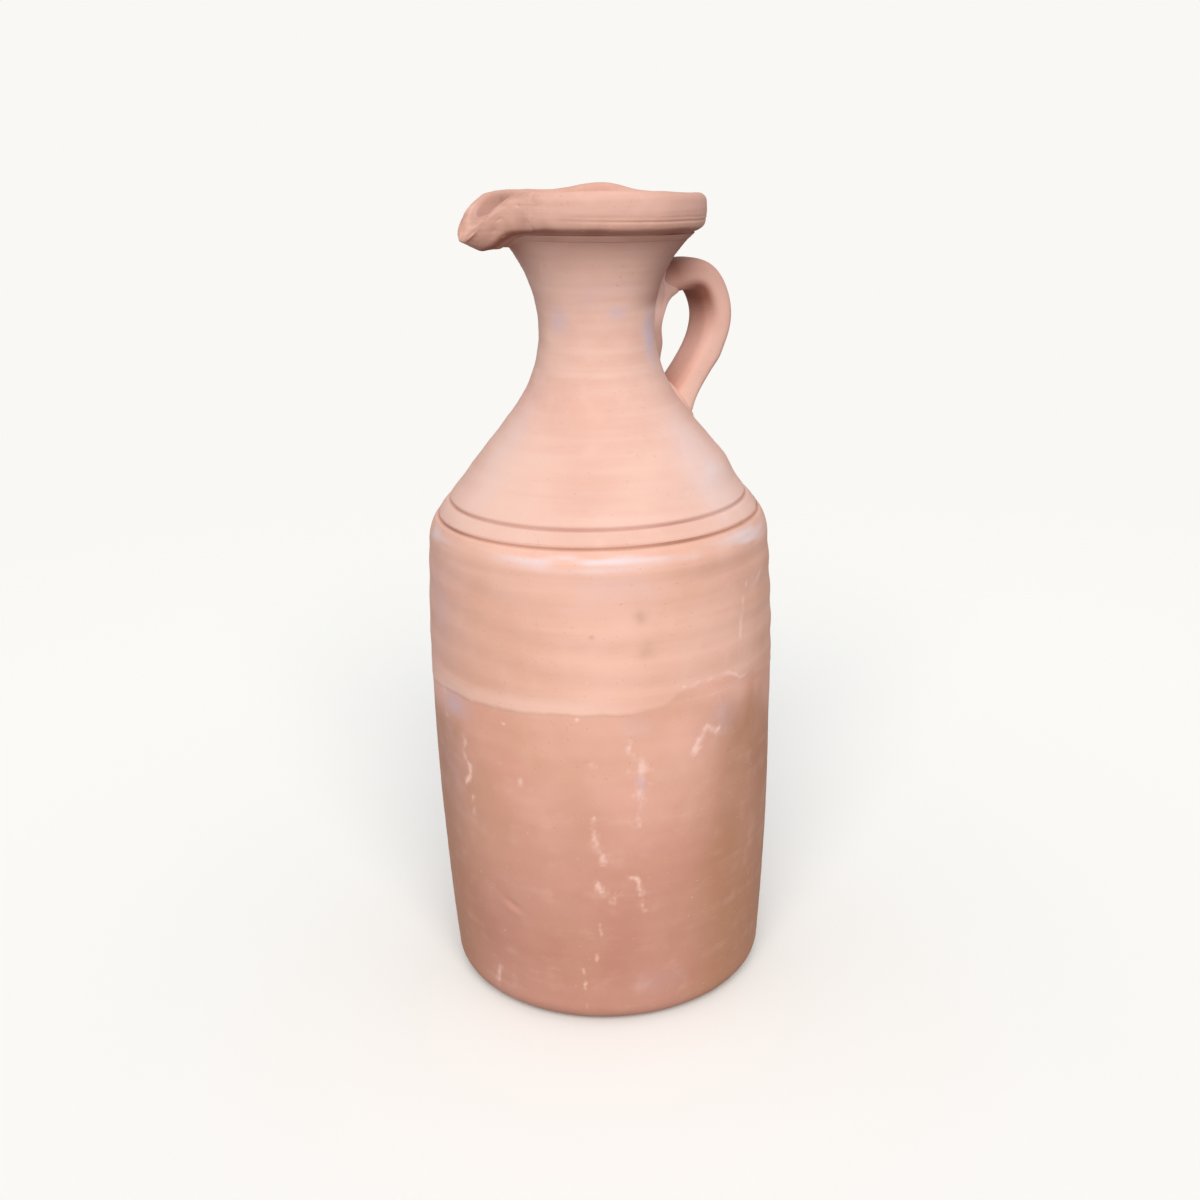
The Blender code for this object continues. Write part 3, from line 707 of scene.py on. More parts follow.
def neck_relief(turn, height):
    """Relief of the cone and neck: faint rings, fine scratches and a soft bulge, which fade at both seams."""
    rings = sum(finger_rings(turn, height, *ring) for ring in NECK_RINGS)
    wander = rough(turn, height, NECK_WANDER, THROAT_RADIUS * 2.0)
    scratched = smooth((height - THROAT - SCRATCH_RISE) / SCRATCH_EASE)
    scratches = SCRATCH_DEPTH * np.sin(height / SCRATCH_WAVE) * scratched
    fade = window(height, GROOVE_HEIGHT + NECK_FADE_START, NECK_FADE_RISE, SEAT, NECK_FADE_FALL)
    return (rings + wander + scratches + hills(height, [CONE_BULGE])) * fade


def wave_rim(points):
    """Raise one gentle wave in the rim's far side: a round hill of turn, growing from the seat to the top."""
    turn = np.arctan2(points[..., 1], points[..., 0])
    rise = smooth((points[..., 2] - SEAT) / RIM_HEIGHT)
    waved = points.copy()
    waved[..., 2] += RIM_WAVE * swell((turn - RIM_WAVE_TURN) / RIM_WAVE_SPREAD) * rise
    return waved


def pull_spout(points):
    """Draw the rim out to -X and down: most at its top and middle, easing away into the neck and sideways."""
    out = -points[..., 0]
    side = np.abs(points[..., 1])
    height = points[..., 2]
    start = SEAT - SPOUT_PULL_DEPTH
    rise = np.clip((height - start) / (RIM_TOP - start), 0.0, None)
    half = SPOUT_HALF_WIDTH + SPOUT_WALL_SPREAD * (out - RIM_RADIUS + RIM_BAND / 2.0)
    front = smooth(out / (RIM_RADIUS / 2.0))
    reach = smooth((half + SPOUT_FLANK / 2.0 - side) / SPOUT_FLANK) * front
    lever = smooth((out - RIM_RADIUS) / SPOUT_DROP_LEVER + 1.0)
    sink = smooth((half - SPOUT_DROP_LAG + SPOUT_DROP_FLANK / 2.0 - side) / SPOUT_DROP_FLANK) * lever
    bend = smooth((height - SEAT + SPOUT_BEND_DEPTH) / SPOUT_BEND_RISE)
    tip = SPOUT_REACH - SPOUT_TIP_ROUND * (side / SPOUT_HALF_WIDTH) ** 2
    pulled = points.copy()
    pulled[..., 0] -= tip * reach * bend
    pulled[..., 2] -= SPOUT_DROP * sink * rise**SPOUT_DROP_RAMP
    return pulled


def lean_neck(points):
    """Bend the neck's top over on a circle, mostly towards the handle: upright first, tipped at the rim."""
    start = THROAT + NECK_LEAN_RISE
    length = RIM_TOP - start
    angle = NECK_LEAN * np.clip((points[..., 2] - start) / length, 0.0, None)
    bend = length / NECK_LEAN
    toward = np.array([math.cos(NECK_LEAN_TURN), math.sin(NECK_LEAN_TURN)])
    out = points[..., :2] @ toward
    above = points[..., 2] > start
    new_out = np.where(above, bend * (1.0 - np.cos(angle)), 0.0) + out * np.cos(angle)
    leaned = points.copy()
    leaned[..., :2] += (new_out - out)[..., None] * toward
    leaned[..., 2] = np.where(above, start + bend * np.sin(angle), points[..., 2]) - out * np.sin(angle)
    return leaned


def set_neck(points):
    """Carry the neck a little off the body's axis towards the handle, easing in above the shoulder seam."""
    moved = points.copy()
    moved[..., 0] += NECK_SET_OVER * smooth((points[..., 2] - GROOVE_HEIGHT - GROOVE_SPACING) / NECK_SET_RISE)
    return moved


def hand_shaping(points):
    """All that the potter's hands do to the turned neck and rim."""
    return set_neck(lean_neck(pull_spout(wave_rim(points))))


def seam_rows(station, shift):
    """Rows across the wall at a seam, tongue down in the middle, from the outer face to the inner one."""
    shifts = station + shift - SEAM_TONGUE * np.array(SEAM_TONGUE_SHARES)
    return wall_rows(shifts, WALL * np.array(SEAM_DEPTH_SHARES))


def section(bottom, top, step, fine):
    """Closed loop of rows of a thrown section: up the outer face, over, down the inner face and back.

    Also gives the stations of the rows and the share of outer relief that each row takes.
    """
    outer = spaced(bottom + SEAM_GAP, top - SEAM_GAP, step, fine)
    inner = spaced(bottom + SEAM_GAP, top - SEAM_GAP, INNER_STEP)[::-1]
    upper = seam_rows(top, -SEAM_GAP)
    lower = seam_rows(bottom, SEAM_GAP)[::-1]
    rows = np.concatenate([wall_rows(outer, 0.0), upper[:2], wall_rows(inner, WALL), lower[1:]])
    stations = np.concatenate([outer, np.full(2, top), inner, np.full(2, bottom)])
    share = np.concatenate([np.ones(len(outer)), np.zeros(len(rows) - len(outer))])
    return rows, stations, share


def seam_slip(station, half):
    """Closed loop of rows of the slip in a seam: a thin lip over the joint on each face, and the bed between.

    The lip is highest in the middle and sinks below the face at its edges, by the fourth power of the way
    there.
    """
    lip = np.array([1.0, 0.85, 0.7, 0.5, 0.25, 0.0, -0.25, -0.5, -0.7, -0.85, -1.0])
    lift = SLIP_LIFT - SLIP_SINK * np.abs(lip) ** 4
    lower = seam_rows(station, -BED_HALF)
    upper = seam_rows(station, BED_HALF)[::-1]
    outside = wall_rows(station + half * lip, -lift)
    inside = wall_rows(station - half * lip, WALL + lift)
    rows = np.concatenate([outside, lower[:2], inside, upper[1:]])
    bed = np.full(2, station)
    stations = np.concatenate([station + half * lip, bed, station - half * lip, bed])
    share = np.concatenate([np.ones(len(lip)), np.zeros(len(rows) - len(lip))])
    return rows, stations, share


def new_mesh(name, points, ring):
    """Mesh of a grid that closes across its columns, and along its rows too when it is a ring.

    Otherwise its first and last rows are closed by a point in the middle of each. Faces are turned outwards
    by the sign of the volume that they close.
    """
    rows, count = points.shape[:2]
    row = np.arange(rows if ring else rows - 1)[:, None]
    column = np.arange(count)[None, :]
    ahead = (row + 1) % rows
    beside = (column + 1) % count
    corners = [row * count + column, row * count + beside, ahead * count + beside, ahead * count + column]
    quads = np.stack(corners, axis=-1).reshape(-1, 4)
    places = points.reshape(-1, 3)
    fans = np.zeros((0, 3), int)
    if not ring:
        first = np.stack([beside[0], column[0], np.full(count, rows * count)], axis=1)
        base = (rows - 1) * count
        last = np.stack([base + column[0], base + beside[0], np.full(count, rows * count + 1)], axis=1)
        fans = np.concatenate([first, last])
        places = np.concatenate([places, points[:1].mean(axis=1), points[-1:].mean(axis=1)])
    a, b, c, d = (places[quads[:, i]] for i in range(4))
    volume = np.sum(a * np.cross(b, c)) + np.sum(a * np.cross(c, d))
    volume += np.sum(places[fans[:, 0]] * np.cross(places[fans[:, 1]], places[fans[:, 2]]))
    if volume < 0.0:
        quads = quads[:, ::-1]
        fans = fans[:, ::-1]
    mesh = bpy.data.meshes.new(name)
    mesh.vertices.add(len(places))
    mesh.vertices.foreach_set("co", places.ravel())
    loops = np.concatenate([quads.ravel(), fans.ravel()])
    mesh.loops.add(len(loops))
    mesh.loops.foreach_set("vertex_index", loops)
    starts = np.concatenate([4 * np.arange(len(quads)), 4 * len(quads) + 3 * np.arange(len(fans))])
    mesh.polygons.add(len(starts))
    mesh.polygons.foreach_set("loop_start", starts)
    mesh.update(calc_edges=True)
    mesh.validate()
    mesh.shade_smooth()
    return mesh


def new_piece(node, points, ring, material, marks=None):
    """Piece of clay that stands for a node: its mesh, its finish, and the marks on it as attributes."""
    name = node + "_clay"
    mesh = new_mesh(name, points, ring)
    for mark, values in (marks or {}).items():
        layer = mesh.attributes.new(mark, "FLOAT", "POINT")
        padded = np.zeros(len(mesh.vertices), np.float32)
        padded[: values.size] = values.ravel()
        layer.data.foreach_set("value", padded)
    mesh.materials.append(material)
    piece = bpy.data.objects.new(name, mesh)
    bpy.context.scene.collection.objects.link(piece)
    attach(piece, "root")
    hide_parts(node)
    return piece


def run_distance(across, up, places):
    """Distance in millimetres from each point of the wall to a broken line of places on it."""
    nearest = np.full(np.broadcast(across, up).shape, FAR_AWAY)
    line = np.array(places) * [MM_PER_DEGREE, 1.0]
    for start, end in zip(line, line[1:]):
        step = end - start
        along = ((across - start[0]) * step[0] + (up - start[1]) * step[1]) / (step @ step)
        along = np.clip(along, 0.0, 1.0)
        gap = np.hypot(across - start[0] - along * step[0], up - start[1] - along * step[1])
        nearest = np.minimum(nearest, gap)
    return nearest


def clouds(across, up, scale, marks):
    """Highest of some round hills at each place of the wall, each about a point of the photograph.

    A mark holds its strength, its radius or its half widths across and up, and its point. The scale turns
    degrees round from the front into the measure across.
    """
    highest = np.zeros(np.broadcast(across, up).shape)
    for strength, *halves, point in marks:
        place, level = on_wall(point)[0]
        away = np.hypot((across - place * scale) / halves[0], (up - level) / halves[-1])
        highest = np.maximum(highest, strength * swell(away))
    return highest


def lime_marks(turn, height, across, up):
    """Lime from 0 to 1: patchy runs with a core and a veil, round spots, and crusts on the coat's edge."""
    patchy = LIME_EVEN + rough(turn, height, LIME_PATCHES)
    lime = clouds(across, up, MM_PER_DEGREE, LIME_SPOTS)
    for strength, half, points in LIME_RUNS:
        away = run_distance(across, up, on_wall(points)) / half
        lime = np.maximum(lime, strength * patchy * hills(away, LIME_PROFILE))
    crust = hills(round_from_front(turn), EDGE_LIME) * hills(height - coat_edge(turn), [EDGE_LIME_BAND])
    crust = crust * (EDGE_LIME_EVEN + rough(turn, height, EDGE_LIME_PATCHES))
    return np.clip(np.maximum(lime, crust), 0.0, 1.0)


def brown_marks(around, height, edge):
    """Browner clay: below the coat on the right, low on the left, high on the right, and in one patch."""
    low = smooth((BROWN_TOP - height) / BROWN_TOP_EASE)
    below = BROWN_BELOW * smooth(-edge / BROWN_BELOW_EASE) * window(around, *BROWN_BELOW_SIDE)
    above = BROWN_ABOVE * (1.0 - low) * window(around, *BROWN_ABOVE_SIDE)
    patch = hills(around, [BROWN_PATCH]) * hills(height, [BROWN_PATCH_LEVEL])
    return below + low * hills(around, [BROWN_LEFT]) + above + patch


def body_marks(turn, height):
    """Marks on the body as fields from 0 to 1, most of them round hills about their places."""
    around = round_from_front(turn)
    across = around * MM_PER_DEGREE + rough(turn, height, WOBBLE_ACROSS)
    up = height * 1000.0 + rough(turn, height, WOBBLE_UP)
    edge = height - coat_edge(turn)
    wiped = field(turn / (2.0 * math.pi) * WIPES_ROUND, height / WIPE_HEIGHT, WIPE_SEED, WIPES_ROUND)
    # Whitish bloom on the shoulder's rounding, partly a painted highlight
    bloom_and_light = hills(height, [SHORE]) * hills(around, SHORE_BLOOM_AND_HIGHLIGHT) * (WIPED_EVEN + WIPED_PATCHY * wiped)
    return {
        "coat": coat(turn, height),
        "dust_and_light": hills(edge, [THICK_EDGE]) * window(around, *THICK_SIDE),
        "dirt_and_shade": hills(around, [BARE_SPOT]) * hills(height, [BARE_SPOT_LEVEL]),
        "lime": lime_marks(turn, height, across, up),
        "haze_and_shade": clouds(across, up, MM_PER_DEGREE, HAZE),
        "smudge": clouds(across, up, MM_PER_DEGREE, SMUDGES),
        "brown": brown_marks(around, height, edge),
        "bloom_and_light": np.clip(bloom_and_light, 0.0, 1.0),
    }


def neck_marks(turn, height, station):
    """Marks on the neck: painted shade in the groove, under the rim and spout and by the handle, a stain,
    clouds, partly painted light, and one scratch.
    """
    around = round_from_front(turn)
    level = height * 1000.0
    below = SEAT - height
    # Painted shade under the rim all round, and more under the spout
    under = UNDER_RIM_SHADE * fading(below, UNDER_RIM_REACH)
    under = under + hills(around, [UNDER_SPOUT_SHADE]) * fading(below, UNDER_SPOUT_REACH)
    # Painted shade on the neck's side towards the handle, down to a level below the rim
    handle_shade = smooth((level - on_wall(NECK_SHADE)[0, 1]) / NECK_SHADE_EASE)
    handle_shade = SHADE_BY_HANDLE * window(around, *SHADE_BY_HANDLE_SIDE) * handle_shade
    ring = on_wall(NECK_RING)[0, 1] + rough(turn, 0.0 * turn, NECK_RING_WAVER)
    stain = NECK_STAIN * smooth((level - ring) / NECK_RING_EASE + 0.5)
    dirt_and_shade = groove_shade(turn, station) + under + handle_shade * (1.0 - under) + stain
    scratch = run_distance(around * MM_PER_DEGREE, level, on_wall(NECK_SCRATCH))
    return {
        "dirt_and_shade": np.clip(dirt_and_shade, 0.0, 1.0),
        "lime": hills(scratch, [NECK_SCRATCH_PROFILE]),
        "haze_and_shade": clouds(around, level, 1.0, NECK_HAZE),
        "bloom_and_light": clouds(around, level, 1.0, NECK_PAINTED_LIGHT),
        "dust_and_light": clouds(around, level, 1.0, NECK_DUST_AND_LIGHT),
    }


class Wire:
    """Output of a shader node, on which the usual operators add Math nodes."""

    def __init__(self, socket):
        self.socket = socket

    @staticmethod
    def add(tree, kind, settings, inputs, output=0):
        """New node of a kind, with its settings set first and then the values or links of its sockets."""
        node = tree.nodes.new(kind)
        for name, value in settings.items():
            setattr(node, name, value)
        for name, value in inputs.items():
            if isinstance(value, Wire):
                tree.links.new(value.socket, node.inputs[name])
            else:
                node.inputs[name].default_value = value
        return Wire(node.outputs[output])

    def maths(self, operation, first, second):
        tree = self.socket.id_data
        return Wire.add(tree, "ShaderNodeMath", {"operation": operation}, {0: first, 1: second})

    def __add__(self, other):
        return self.maths("ADD", self, other)

    def __radd__(self, other):
        return self.maths("ADD", other, self)

    def __sub__(self, other):
        return self.maths("SUBTRACT", self, other)

    def __rsub__(self, other):
        return self.maths("SUBTRACT", other, self)

    def __mul__(self, other):
        return self.maths("MULTIPLY", self, other)

    def __rmul__(self, other):
        return self.maths("MULTIPLY", other, self)


def tone(red, green, blue):
    """Colour on the usual scale of 0 to 255, as linear light."""
    shares = np.array([red, green, blue]) / 255.0
    linear = np.where(shares <= 0.04045, shares / 12.92, ((shares + 0.055) / 1.055) ** 2.4)
    return (*(float(x) for x in linear), 1.0)


# Tones of the clay and of what lies on it
RED = tone(232, 182, 166)
RED_DEEP = tone(215, 160, 139)
LOW = tone(193, 141, 124)
LOW_DEEP = tone(182, 128, 110)
PALE = tone(229, 184, 167)
PALE_DEEP = tone(218, 169, 148)
NECK = tone(225, 188, 174)
NECK_DEEP = tone(216, 172, 157)
RIM = tone(218, 175, 160)
RIM_DEEP = tone(203, 157, 140)
HANDLE = tone(236, 192, 178)
HANDLE_DEEP = tone(223, 175, 159)
LUTE = tone(241, 199, 186)
LUTE_DEEP = tone(229, 182, 166)
BROWN = tone(176, 126, 97)
TAN = tone(200, 152, 126)
# Pale dust, also the tone of painted light on the cone's sides
DUST_AND_LIGHT_TONE = tone(236, 198, 182)
# Violet-grey haze, also the tint of painted shade in the spout's trough
HAZE_AND_SHADE_TONE = tone(204, 182, 192)
# Whitish bloom, also the tone of a painted highlight on the shoulder and painted light on the cone
BLOOM_AND_LIGHT_TONE = tone(225, 209, 212)
LIME_TONE = tone(236, 196, 183)
SMUDGE_TONE = tone(158, 130, 112)
# Dirt, also the tone of painted shade
DIRT_AND_SHADE_TONE = tone(140, 88, 72)
SHEEN_TONE = tone(246, 224, 222)

# Noise in the clay: hills to the metre and detail. Streaks are drawn out round the jar by the stretch
CLOUD = (17.0, 3.0)
MOTTLE = (75.0, 4.0)
STREAK = (1.0, 4.0)
STREAK_STRETCH = (9.0, 9.0, 190.0)
GRAIN = (1300.0, 3.0)
SPECK = (430.0, 2.0)
TANNED = (11.0, 2.0)
PORE = (620.0, 1.0)

# Levels between which a noise or a mark comes up
SUNK_SPAN = (0.04, 0.205)
COVER_SPAN = (0.2, 0.8)
DEPTH_SPAN = (0.34, 0.68)
TANNED_SPAN = (0.46, 0.62)
DUST_SPAN = (0.48, 0.74)
CRUST_SPAN = (0.15, 1.0)
LIME_SPAN = (0.02, 0.3)
SPECK_SPAN = (0.70, 0.78)
PORE_SPAN = (0.70, 0.77)

# Patchy marks: share without noise, gain with noise, and levels between which they come up
PATCHY_BROWN = (0.4, 1.2, 0.05, 1.0)
PATCHY_HAZE_AND_SHADE = (0.45, 1.1, 0.02, 0.9)
PATCHY_BLOOM_AND_LIGHT = (0.55, 0.9, 0.05, 1.0)


def mixed(tree, share, first, second):
    """Colour between two others."""
    return Wire.add(tree, "ShaderNodeMix", {"data_type": "RGBA"}, {0: share, 6: first, 7: second}, 2)


def between(tree, value, low, high):
    """Share from 0 to 1 of a value on its way from low to high, eased at both ends."""
    settings = {"interpolation_type": "SMOOTHSTEP"}
    return Wire.add(tree, "ShaderNodeMapRange", settings, {"Value": value, "From Min": low, "From Max": high})


def speckle(tree, place, scale, detail):
    """Noise from 0 to 1, with as many hills to the metre as the scale."""
    return Wire.add(tree, "ShaderNodeTexNoise", {}, {"Vector": place, "Scale": scale, "Detail": detail})


def attribute(tree, name):
    """Mark of that name on the piece, or 0 where the piece has none."""
    return Wire.add(tree, "ShaderNodeAttribute", {"attribute_name": name}, {}, "Fac")


def patchy_mark(tree, name, noise, least, gain, low, high):
    """Mark made patchy by noise: times its least share plus a gain of noise, eased between two levels."""
    return between(tree, attribute(tree, name) * (least + gain * noise), low, high)


def plain_material(name):
    """New material with a node tree, given as the material, its tree and its main shader."""
    material = bpy.data.materials.new(name)
    material.use_nodes = True
    return material, material.node_tree, material.node_tree.nodes["Principled BSDF"]


def fired_clay(name, clay, deep, pale=None, dust=0.35, wheel=0.5):
    """Matte terracotta: cloudy and streaky in colour, with coat, haze, lime, smudges, pores and wheel lines.

    The clay runs from its own tone to a deeper one in clouds and turned streaks. Where a piece is marked as
    coated it takes the pale tone. Dust lightens it in patches.
    """
    material, tree, shader = plain_material(name)
    place = Wire.add(tree, "ShaderNodeTexCoord", {}, {}, "Object")
    stretched = {0: place, 1: STREAK_STRETCH}
    drawn_out = Wire.add(tree, "ShaderNodeVectorMath", {"operation": "MULTIPLY"}, stretched)
    cloud = speckle(tree, place, *CLOUD)
    mottle = speckle(tree, place, *MOTTLE)
    streak = speckle(tree, drawn_out, *STREAK)
    grain = speckle(tree, place, *GRAIN)
    speck = speckle(tree, place, *SPECK)

    level = Wire.add(tree, "ShaderNodeSeparateXYZ", {}, {0: place}, "Z")
    base = clay
    deeper = deep
    if pale:
        # On coated pieces the clay darkens to the low tones towards the bottom
        sunk = between(tree, level + 0.05 * (cloud - 0.5), *SUNK_SPAN)
        cover = between(tree, attribute(tree, "coat") + 0.6 * (mottle - 0.5), *COVER_SPAN)
        base = mixed(tree, cover, mixed(tree, sunk, LOW, clay), pale[0])
        deeper = mixed(tree, cover, mixed(tree, sunk, LOW_DEEP, deep), pale[1])
    depth = between(tree, (1.0 - wheel) * cloud + wheel * streak, *DEPTH_SPAN)
    colour = mixed(tree, depth, base, deeper)
    if pale:
        tanned = between(tree, speckle(tree, place, *TANNED), *TANNED_SPAN) * (1.0 - cover)
        colour = mixed(tree, tanned * 0.36, colour, TAN)
    colour = mixed(tree, patchy_mark(tree, "brown", cloud, *PATCHY_BROWN), colour, BROWN)
    patch = between(tree, 0.6 * mottle + 0.4 * streak, *DUST_SPAN) * dust
    colour = mixed(tree, patch, colour, DUST_AND_LIGHT_TONE)
    # Dust, and painted light on the cone's sides
    colour = mixed(tree, attribute(tree, "dust_and_light"), colour, DUST_AND_LIGHT_TONE)
    # Haze, and a violet tint of painted shade in the spout's trough
    colour = mixed(tree, patchy_mark(tree, "haze_and_shade", mottle, *PATCHY_HAZE_AND_SHADE), colour, HAZE_AND_SHADE_TONE)
    # Bloom, with a painted highlight on the shoulder and painted light on the cone's sides
    colour = mixed(tree, patchy_mark(tree, "bloom_and_light", mottle, *PATCHY_BLOOM_AND_LIGHT), colour, BLOOM_AND_LIGHT_TONE)
    lime = attribute(tree, "lime")
    crust = between(tree, lime + 0.7 * (speck - 0.5) + 0.5 * (mottle - 0.5), *CRUST_SPAN)
    crust = crust * between(tree, lime, *LIME_SPAN)
    colour = mixed(tree, crust, colour, LIME_TONE)
    colour = mixed(tree, attribute(tree, "smudge"), colour, SMUDGE_TONE)
    # Dirt, and painted shade in the grooves, under the rim and spout, by the handle and on the strap and its
    # smear
    colour = mixed(tree, attribute(tree, "dirt_and_shade"), colour, DIRT_AND_SHADE_TONE)
    colour = mixed(tree, between(tree, speck, *SPECK_SPAN) * 0.35, colour, DUST_AND_LIGHT_TONE)
    pore = between(tree, speckle(tree, place, *PORE), *PORE_SPAN)
    colour = mixed(tree, pore * 0.12, colour, DIRT_AND_SHADE_TONE)
    roughness = 0.84 + 0.12 * grain
    height = 0.05 * grain + 0.10 * wheel * streak + 0.06 * mottle - 0.10 * pore + 0.12 * crust
    raised = {"Height": height, "Distance": 0.001, "Strength": 0.8}
    bump = Wire.add(tree, "ShaderNodeBump", {}, raised, "Normal")
    for socket, wire in {"Base Color": colour, "Roughness": roughness, "Normal": bump}.items():
        tree.links.new(wire.socket, shader.inputs[socket])
    shader.inputs["Specular IOR Level"].default_value = 0.25
    shader.inputs["Sheen Weight"].default_value = 0.08
    shader.inputs["Sheen Roughness"].default_value = 0.6
    shader.inputs["Sheen Tint"].default_value = SHEEN_TONE
    return material


LOWER_CLAY = fired_clay("lower_body_clay", RED, RED_DEEP, (PALE, PALE_DEEP), dust=0.18, wheel=0.12)
UPPER_CLAY = fired_clay("upper_body_clay", RED, RED_DEEP, (PALE, PALE_DEEP), dust=0.25, wheel=0.38)
SLIP_CLAY = fired_clay("seam_slip", RED, RED_DEEP, (PALE, PALE_DEEP), dust=0.25, wheel=0.38)
NECK_CLAY = fired_clay("neck_clay", NECK, NECK_DEEP, dust=0.35, wheel=0.45)
RIM_SLIP_CLAY = fired_clay("rim_seam_slip", NECK, NECK_DEEP, dust=0.35, wheel=0.45)
RIM_CLAY = fired_clay("rim_clay", RIM, RIM_DEEP, dust=0.30, wheel=0.8)
HANDLE_CLAY = fired_clay("handle_clay", HANDLE, HANDLE_DEEP, dust=0.30, wheel=0.0)
LUTE_CLAY = fired_clay("lute_clay", LUTE, LUTE_DEEP, dust=0.30, wheel=0.0)


def profile_rows(*columns):
    """Rows of radius, height and outward normal from their columns, of which some may be one number."""
    return np.stack(np.broadcast_arrays(*columns), axis=1)


def floor_and_foot():
    """Rows of the lower section below its wall: the inside floor and the foot, each with its round corner."""
    low = station_at(FLOOR + FLOOR_ROUND)
    corner = wall_rows([low], WALL)[0, 0] - FLOOR_ROUND
    foot = BELLY_RADIUS - FOOT_DRAWN_IN - FOOT_ROUND
    quarter = np.linspace(0.0, math.pi / 2.0, CORNER_ROWS)
    sine = np.sin(quarter)
    cosine = np.cos(quarter)
    flat = np.linspace(FLAT_START, 1.0, FLAT_ROWS)
    inside = profile_rows(corner * flat, FLOOR, 0.0, -1.0)
    rise = FLOOR + FLOOR_ROUND * (1.0 - cosine)
    inside_round = profile_rows(corner + FLOOR_ROUND * sine, rise, -sine, 0.0)
    outside_round = profile_rows(foot + FOOT_ROUND * cosine, FOOT_ROUND * (1.0 - sine), cosine, -sine)
    under = profile_rows(foot * flat[::-1], 0.0, 0.0, -1.0)
    floor_rows = np.concatenate([inside, inside_round[1:-1]])
    return low, floor_rows, np.concatenate([outside_round[1:], under[1:]])


def lower_body():
    """Lower section: floor, inner wall, edge, outer wall with its relief, foot and underside."""
    turn = round_columns(BODY_COLUMNS, BODY_CROWDING, FRONT)[None, :]
    low, floor, foot = floor_and_foot()
    top = BODY_SEAM - SEAM_GAP
    inner = spaced(low, top, FLOOR_STEP)
    outer = spaced(0.0, top, LOWER_STEP, LOWER_FINE)[::-1]
    edge = seam_rows(BODY_SEAM, -SEAM_GAP)[1:2]
    rows = np.concatenate([floor, wall_rows(inner, WALL), edge, wall_rows(outer, 0.0), foot])
    start = len(floor) + len(inner) + 1
    end = start + len(outer)
    share = np.zeros((len(rows), 1))
    share[start:end] = 1.0
    share[end : end + CORNER_ROWS - 1, 0] = smooth(np.linspace(1.0, 0.0, CORNER_ROWS))[1:]
    height = rows[:, 1:2] + 0.0 * turn
    points = turned(rows, turn, body_relief(turn, height) * share)
    chips = rough(turn, height, FOOT_CHIPS) * share * smooth((FOOT_CHIPS_TOP - height) / FOOT_CHIPS_EASE)
    points[..., 2] = np.maximum(points[..., 2] + chips, 0.0)
    marks = {name: values * (share > 0.0) for name, values in body_marks(turn, height).items()}
    new_piece("lower_body", points, False, LOWER_CLAY, marks)


def body_ring(node, loop, material):
    """Ring of the body from a closed loop of rows: upper section or slip, with relief, grooves and marks."""
    turn = round_columns(BODY_COLUMNS, BODY_CROWDING, FRONT)[None, :]
    rows, stations, share = loop
    station = stations[:, None]
    height = rows[:, 1:2] + 0.0 * turn
    relief = body_relief(turn, height) + shoulder_relief(turn, station)
    points = turned(rows, turn, relief * share[:, None])
    marks = body_marks(turn, height)
    # Painted shade at the bottom of the grooves
    marks["dirt_and_shade"] = marks["dirt_and_shade"] + groove_shade(turn, station)
    new_piece(node, points, True, material, marks)


def neck():
    """Neck: cone, throat and flare as a closed loop of rows, then shaped by hand with the rim."""
    turn = round_columns(NECK_COLUMNS, NECK_CROWDING, FRONT)[None, :]
    rows, stations, share = section(SHOULDER_SEAM, RIM_SEAM, NECK_STEP, NECK_FINE)
    height = rows[:, 1:2]
    relief = neck_relief(turn, height) + shoulder_relief(turn, stations[:, None])
    points = hand_shaping(turned(rows, turn, relief * share[:, None]))
    marks = neck_marks(turn, height, stations[:, None])
    outside = {name: values * share[:, None] for name, values in marks.items()}
    new_piece("neck", points, True, NECK_CLAY, outside)


def rim_seam_slip():
    """Slip under the rim: a small round bead in the corner between neck and rim, and the bed inside."""
    turn = round_columns(NECK_COLUMNS, NECK_CROWDING, SPOUT_TURN)[None, :]
    around = round_from_front(turn)
    rows, _, share = seam_slip(RIM_SEAM, RIM_SLIP_HALF)
    points = hand_shaping(turned(rows, turn, RIM_SLIP_BEAD * share[:, None] + 0.0 * turn))
    # Painted shade on the slip in the corner under the rim, more by the handle and under the spout
    dirt_and_shade = SLIP_SHADE + rough(turn, rows[:, 1:2], SLIP_SHADE_PATCHES)
    dirt_and_shade = dirt_and_shade + SLIP_SHADE_BY_HANDLE * window(around, *SHADE_BY_HANDLE_SIDE) + hills(around, [SLIP_SHADE_UNDER_SPOUT])
    marks = {"dirt_and_shade": np.clip(dirt_and_shade, 0.0, 1.0) * share[:, None]}
    new_piece("rim_seam_slip", points, True, RIM_SLIP_CLAY, marks)


